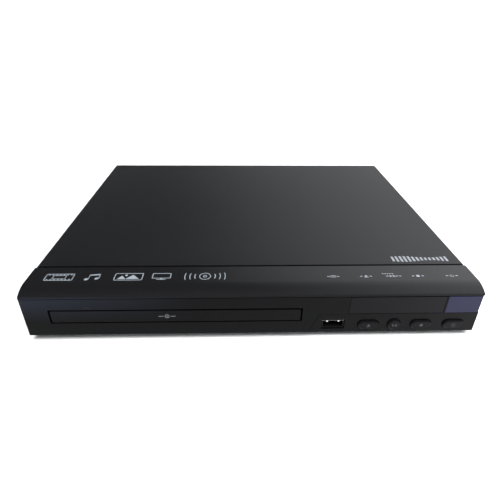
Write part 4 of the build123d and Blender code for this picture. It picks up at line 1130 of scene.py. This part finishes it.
@dataclass
class FrontMoulding:
    """Front moulding with its two windows, its rear lips and the data socket."""

    edge: float = 0.22 * MM
    window_edge: float = 0.12 * MM
    contact_width: float = 1.0 * MM
    contact_pitch: float = 2.3 * MM
    contact_length: float = 7.0 * MM
    contact_thick: float = 0.12 * MM
    contact_inset: float = 0.4 * MM
    spring_width: float = 1.1 * MM
    spring_height: float = 1.3 * MM
    spring_thick: float = 0.2 * MM
    spring_pitch: float = 7.0 * MM
    spring_depth: float = 0.7 * MM
    shell_wall: float = 0.35 * MM
    lip_length: float = 8.0 * MM
    lip_depth: float = 1.15 * MM
    lip_height: float = 1.2 * MM
    lip_drop: float = 0.95 * MM
    lip_inset: float = 0.3 * MM
    lip_tuck: float = 0.05 * MM
    lip_corner: float = 0.1 * MM

    def build(self) -> None:
        """Finish the moulding, the windows and the socket."""
        refine("front_bezel", "player", "black_plastic", self.edge, 2)
        for node in ("display_window", "sensor_window"):
            refine(node, "player", "smoked_window", self.window_edge)
        self._contacts()
        self._springs()
        self._rear_lips()

    def _springs(self) -> None:
        """Two spring fingers that hang from the socket's roof just inside its mouth."""
        low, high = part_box("usb_socket")
        middle = centre_of("usb_socket")[0]
        roof = high[2] - self.shell_wall
        shapes = []
        for side in (-1, 1):
            finger, faces = prism(rounded_box(self.spring_width, self.spring_height, self.spring_width / 4),
                                  self.spring_thick)
            finger = finger @ np.array(Matrix.Rotation(math.pi / 2, 3, "X")).T
            place = (middle + side * self.spring_pitch / 2, low[1] + self.spring_depth, roof - self.spring_height / 2)
            shapes.append((finger + place, faces))
        deliver("socket_springs", merged(shapes), "player", "plated_shell")

    def _rear_lips(self) -> None:
        """Two short lips at the moulding's rear corners, which the cover's front edge runs over."""
        _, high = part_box("front_bezel")
        shapes = []
        for side in (-1, 1):
            middle = (side * (high[0] - self.lip_inset - self.lip_length / 2),
                      seam() - self.lip_tuck + self.lip_depth / 2)
            lip, faces = prism(rounded_box(self.lip_length, self.lip_depth, self.lip_corner, middle),
                               self.lip_height)
            shapes.append((lip + (0, 0, high[2] - self.lip_drop - self.lip_height), faces))
        deliver("moulding_rear_lips", merged(shapes), "player", "black_plastic")

    def _contacts(self) -> None:
        """Four gilt contact strips under the socket's tongue."""
        low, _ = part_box("usb_tongue")
        middle = centre_of("usb_tongue")[0]
        shapes = []
        for index in range(4):
            x = middle + (index - 1.5) * self.contact_pitch
            path = np.array([[x, 0.0], [x, self.contact_length]])
            points, faces = band(path, self.contact_width, self.contact_thick, False)
            shapes.append((points + (0, low[1] + self.contact_inset, low[2] - self.contact_thick), faces))
        gilt = Metal("gilt_contact", (0.83, 0.60, 0.25), 0.25, (12.0, 1.0, 12.0), 500.0)
        deliver("socket_contacts", merged(shapes), "player", "plated_shell", finish=gilt)


@dataclass
class ButtonRow:
    """Push buttons, each with a faint symbol on its cap."""

    edge: float = 0.3 * MM
    lift: float = 0.01 * MM
    names: Sequence[str] = ("open_close", "play", "stop", "power")

    def build(self) -> None:
        """Finish the caps and print their symbols."""
        for name in self.names:
            node = f"{name}_button"
            refine(node, node, "button_plastic", self.edge)
            across, _, level = centre_of(node)
            place = on_front(across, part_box(node)[0][1] - self.lift, level)
            symbol(name).print_on(f"{name}_cap_symbol", place, Ink.CAP, node, "button_plastic")


def symbol(name: str) -> Glyph:
    """Plain control symbol about its own middle, 2.4 mm tall; the port's is an outlined slot with a bar."""
    glyph = Glyph()
    if name == "open_close":
        glyph.plate([(-1.2, -0.35), (1.2, -0.35), (0, 1.2)])
        glyph.bar((0, -0.95), 2.4, 0.45)
    elif name == "play":
        glyph.plate([(-1.4, -1.0), (0.1, 0), (-1.4, 1.0)])
        glyph.bar((0.65, 0), 0.4, 2.0)
        glyph.bar((1.35, 0), 0.4, 2.0)
    elif name == "stop":
        glyph.bar((0, 0), 1.8, 1.8)
    elif name == "power":
        glyph.stroke(circle(1.05, 30, (0, -0.1), math.radians(125), math.radians(290)), 0.28, False)
        glyph.bar((0, 0.6), 0.28, 1.2)
    else:
        glyph.stroke(rounded_box(2.8, 1.7, 0.2), 0.3)
        glyph.bar((0, 0.15), 1.6, 0.45)
    return glyph


@dataclass
class PrintedMarks:
    """Pale pictograms on the rolled strip, symbols above the buttons and a plain ornament on the cover."""

    strip_top: float = 35.0 * MM
    mark_y: float = -10.6 * MM
    label_y: float = -11.8 * MM
    label_size: float = 1.1
    ornament_x: float = 109.0 * MM
    ornament_y: float = 7.9 * MM
    door_x: float = -52.0 * MM
    lift: float = 0.005 * MM
    middles: Sequence[float] = (-117.0, -97.0, -75.8, -56.1, -29.9)
    labels: Sequence[tuple[str, float]] = (
        ("port", 48.0), ("open_close", 68.2), ("play", 84.3), ("stop", 100.3), ("power", 121.4),
    )

    def build(self) -> None:
        """Print every mark."""
        shapes = (self._film(), self._note(), self._picture(), self._screen(), self._disc())
        names = ("film", "note", "picture", "screen", "disc")
        for name, glyph, x in zip(names, shapes, self.middles):
            place = on_top(x * MM, seam() + self.mark_y, self.strip_top + self.lift)
            glyph.print_on(f"mark_{name}", place, Ink.STRIP, "player", "black_plastic")
        for name, x in self.labels:
            place = on_top(x * MM, seam() + self.label_y, self.strip_top + self.lift)
            self._label(name).print_on(f"label_{name}", place, Ink.LABEL, "player", "black_plastic")
        self._ornament()
        self._door_mark()

    def _label(self, name: str) -> Glyph:
        """Control symbol between two dashes; the wide one has a row of dots behind it."""
        glyph = symbol(name).grown(self.label_size)
        for side in (-1, 1):
            glyph.bar((side * 3.0, 0), 1.5, 0.7)
        if name == "play":
            for x in np.linspace(-5.0, 1.0, 5):
                glyph.bar((x, 2.6), 0.8, 0.8)
            glyph.bar((5.0, 0), 1.5, 0.7)
        return glyph

    def _film(self) -> Glyph:
        """Strip of film: a frame with square holes along both edges."""
        glyph = Glyph()
        glyph.stroke(rounded_box(16.4, 6.6, 0.6), 0.5)
        glyph.stroke(rounded_box(7.6, 3.4, 0.3), 0.4)
        for x in np.linspace(-6.6, 6.6, 7):
            glyph.bar((x, 2.45), 1.0, 0.75)
            glyph.bar((x, -2.45), 1.0, 0.75)
        return glyph

    def _note(self) -> Glyph:
        """Pair of joined notes."""
        glyph = Glyph()
        for x, y in ((-3.4, -2.4), (2.6, -1.6)):
            head = circle(1.0, 28)
            turn = math.radians(18)
            flat = np.column_stack([head[:, 0] * 1.35, head[:, 1]])
            spin = np.array([[math.cos(turn), -math.sin(turn)], [math.sin(turn), math.cos(turn)]])
            glyph.plate(flat @ spin.T + (x, y))
            glyph.bar((x + 1.15, y + 2.3), 0.42, 4.4)
        glyph.plate([(-2.46, 1.3), (3.96, 2.1), (3.96, 3.3), (-2.46, 2.5)])
        return glyph

    def _picture(self) -> Glyph:
        """Boxed picture: hills under a sun."""
        glyph = Glyph()
        glyph.stroke(rounded_box(16.6, 7.0, 0.8), 0.5)
        glyph.plate([(-6.6, -2.4), (-1.4, -2.4), (-4.0, 1.2)])
        glyph.plate([(-1.6, -2.4), (6.6, -2.4), (2.4, 2.0)])
        glyph.plate(circle(0.8, 24, (-1.6, 1.6)))
        return glyph

    def _screen(self) -> Glyph:
        """Wide screen on a foot."""
        glyph = Glyph()
        glyph.stroke(rounded_box(10.8, 5.0, 0.5, (0, 0.8)), 0.5)
        glyph.bar((0, -2.3), 1.2, 0.9)
        glyph.bar((0, -3.0), 5.4, 0.5)
        return glyph

    def _disc(self) -> Glyph:
        """Disc with sound waves at each side."""
        glyph = Glyph()
        glyph.stroke(circle(3.3, 56), 0.5)
        glyph.stroke(circle(1.0, 32), 0.45)
        for radius in (6.2, 9.2, 12.2):
            for middle in (0.0, math.pi):
                sweep = math.radians(58 - radius * 2)
                arc = circle(radius, 16, (0, 0), middle - sweep / 2, sweep)
                glyph.stroke(arc, 0.5, False)
        return glyph

    def _ornament(self) -> None:
        """Row of plain upright bars near the cover's front right corner."""
        glyph = Glyph()
        heights = 5.0 + 1.9 * np.sin(np.linspace(0.4, 2 * math.pi + 0.4, 14))
        for x, height in zip(np.linspace(-17.6, 17.6, 14), heights):
            glyph.bar((x, 0), 1.5, height)
        place = on_top(self.ornament_x, seam() + self.ornament_y, self.strip_top + self.lift)
        glyph.print_on("cover_ornament", place, Ink.EMBLEM, "player", "black_paint")

    def _door_mark(self) -> None:
        """Small ring on the tray door."""
        glyph = Glyph()
        glyph.stroke(circle(1.2, 32), 0.3)
        glyph.plate(circle(0.35, 16))
        glyph.bar((-3.6, 0), 3.0, 0.3)
        glyph.bar((3.6, 0), 3.0, 0.3)
        place = on_front(self.door_x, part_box("tray_door")[0][1] - self.lift, centre_of("tray_door")[2])
        glyph.print_on("door_mark", place, Ink.DOOR, "tray", "black_plastic")


@dataclass
class TrayLoader:
    """Front of the tray and the disc tray."""

    door_edge: float = 0.2 * MM
    tray_edge: float = 0.3 * MM

    def build(self) -> None:
        """Finish the door and the tray."""
        refine("tray_door", "tray", "black_plastic", self.door_edge)
        refine("disc_tray", "tray", "tray_black", self.tray_edge)


@dataclass
class Traverse:
    """Moving mechanism: the feed screw's thread and the pickup's lens."""

    lead: float = 3.0 * MM
    thread_depth: float = 0.35 * MM
    thread_sides: int = 20
    rows_per_turn: int = 12
    barrel_share: float = 0.4
    dome_inset: float = 0.98

    def build(self) -> None:
        """Make the thread and the lens."""
        self._thread()
        self._lens()

    def _thread(self) -> None:
        """Screw with a V thread: r(a, t) = R - d |2 frac(t / lead - a / 2 pi) - 1|, swept along Y."""
        low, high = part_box("feed_screw")
        radius = (high[0] - low[0]) / 2
        centre = ((low[0] + high[0]) / 2, 0.0, (low[2] + high[2]) / 2)
        around, along = self.thread_sides, int((high[1] - low[1]) / self.lead * self.rows_per_turn)
        angle = np.linspace(0, 2 * math.pi, around, endpoint=False)[None, :]
        y = np.linspace(low[1], high[1], along)[:, None]
        phase = (y - low[1]) / self.lead - angle / (2 * math.pi)
        depth = self.thread_depth * np.abs(2 * (phase % 1.0) - 1)
        r = radius - depth
        grid = np.stack([r * np.cos(angle), np.repeat(y, around, 1), r * np.sin(angle)], -1).reshape(-1, 3)
        grid += (centre[0], 0, centre[2])
        ends = np.array([[centre[0], low[1], centre[2]], [centre[0], high[1], centre[2]]])
        points = np.vstack([grid, ends])
        shape = points, tube_faces(along, around)
        deliver("feed_screw_thread", shape, "feed_screw", "rod_steel", "feed_screw")

    def _lens(self) -> None:
        """Domed lens: h(r) = H sqrt(1 - (r / R)^2) over a short barrel."""
        low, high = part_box("pickup_lens")
        radius = (high[0] - low[0]) / 2
        height = high[2] - low[2]
        barrel = height * self.barrel_share
        rise = height - barrel
        turns = np.linspace(0, math.pi / 2, 9)[:-1]
        dome = [(radius * math.cos(a) * self.dome_inset, barrel + rise * math.sin(a)) for a in turns]
        profile = [(0, 0), (radius, 0), (radius, barrel), *dome, (0, height)]
        centre = ((low[0] + high[0]) / 2, (low[1] + high[1]) / 2, low[2])
        deliver("pickup_lens_dome", turned(profile, centre), "pickup", "lens_glass", "pickup_lens", smooth=True)


@dataclass
class RearPanel:
    """Sockets on the back."""

    edge: float = 0.12 * MM

    def build(self) -> None:
        """Round the sockets' edges."""
        for node, slot in (("mains_inlet", "switch_black"), ("phono_sockets", "plated_shell"),
                           ("phono_inserts", "phono_colours"), ("video_socket", "plated_shell")):
            refine(node, "player", slot, self.edge, 2)


def main() -> None:
    """Dress the player and set it in the studio."""
    logging.basicConfig(level=logging.INFO, format="%(name)s: %(message)s")
    scene = bpy.context.scene
    scene.view_settings.view_transform = "Standard"
    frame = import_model()
    dress_nodes(frame)
    for assembly in (CaseShell(), FrontMoulding(), ButtonRow(), TrayLoader(), Traverse(), RearPanel(),
                     PrintedMarks(), Studio()):
        log.info("building %s", type(assembly).__name__)
        assembly.build()


if __name__ == "__main__":
    main()
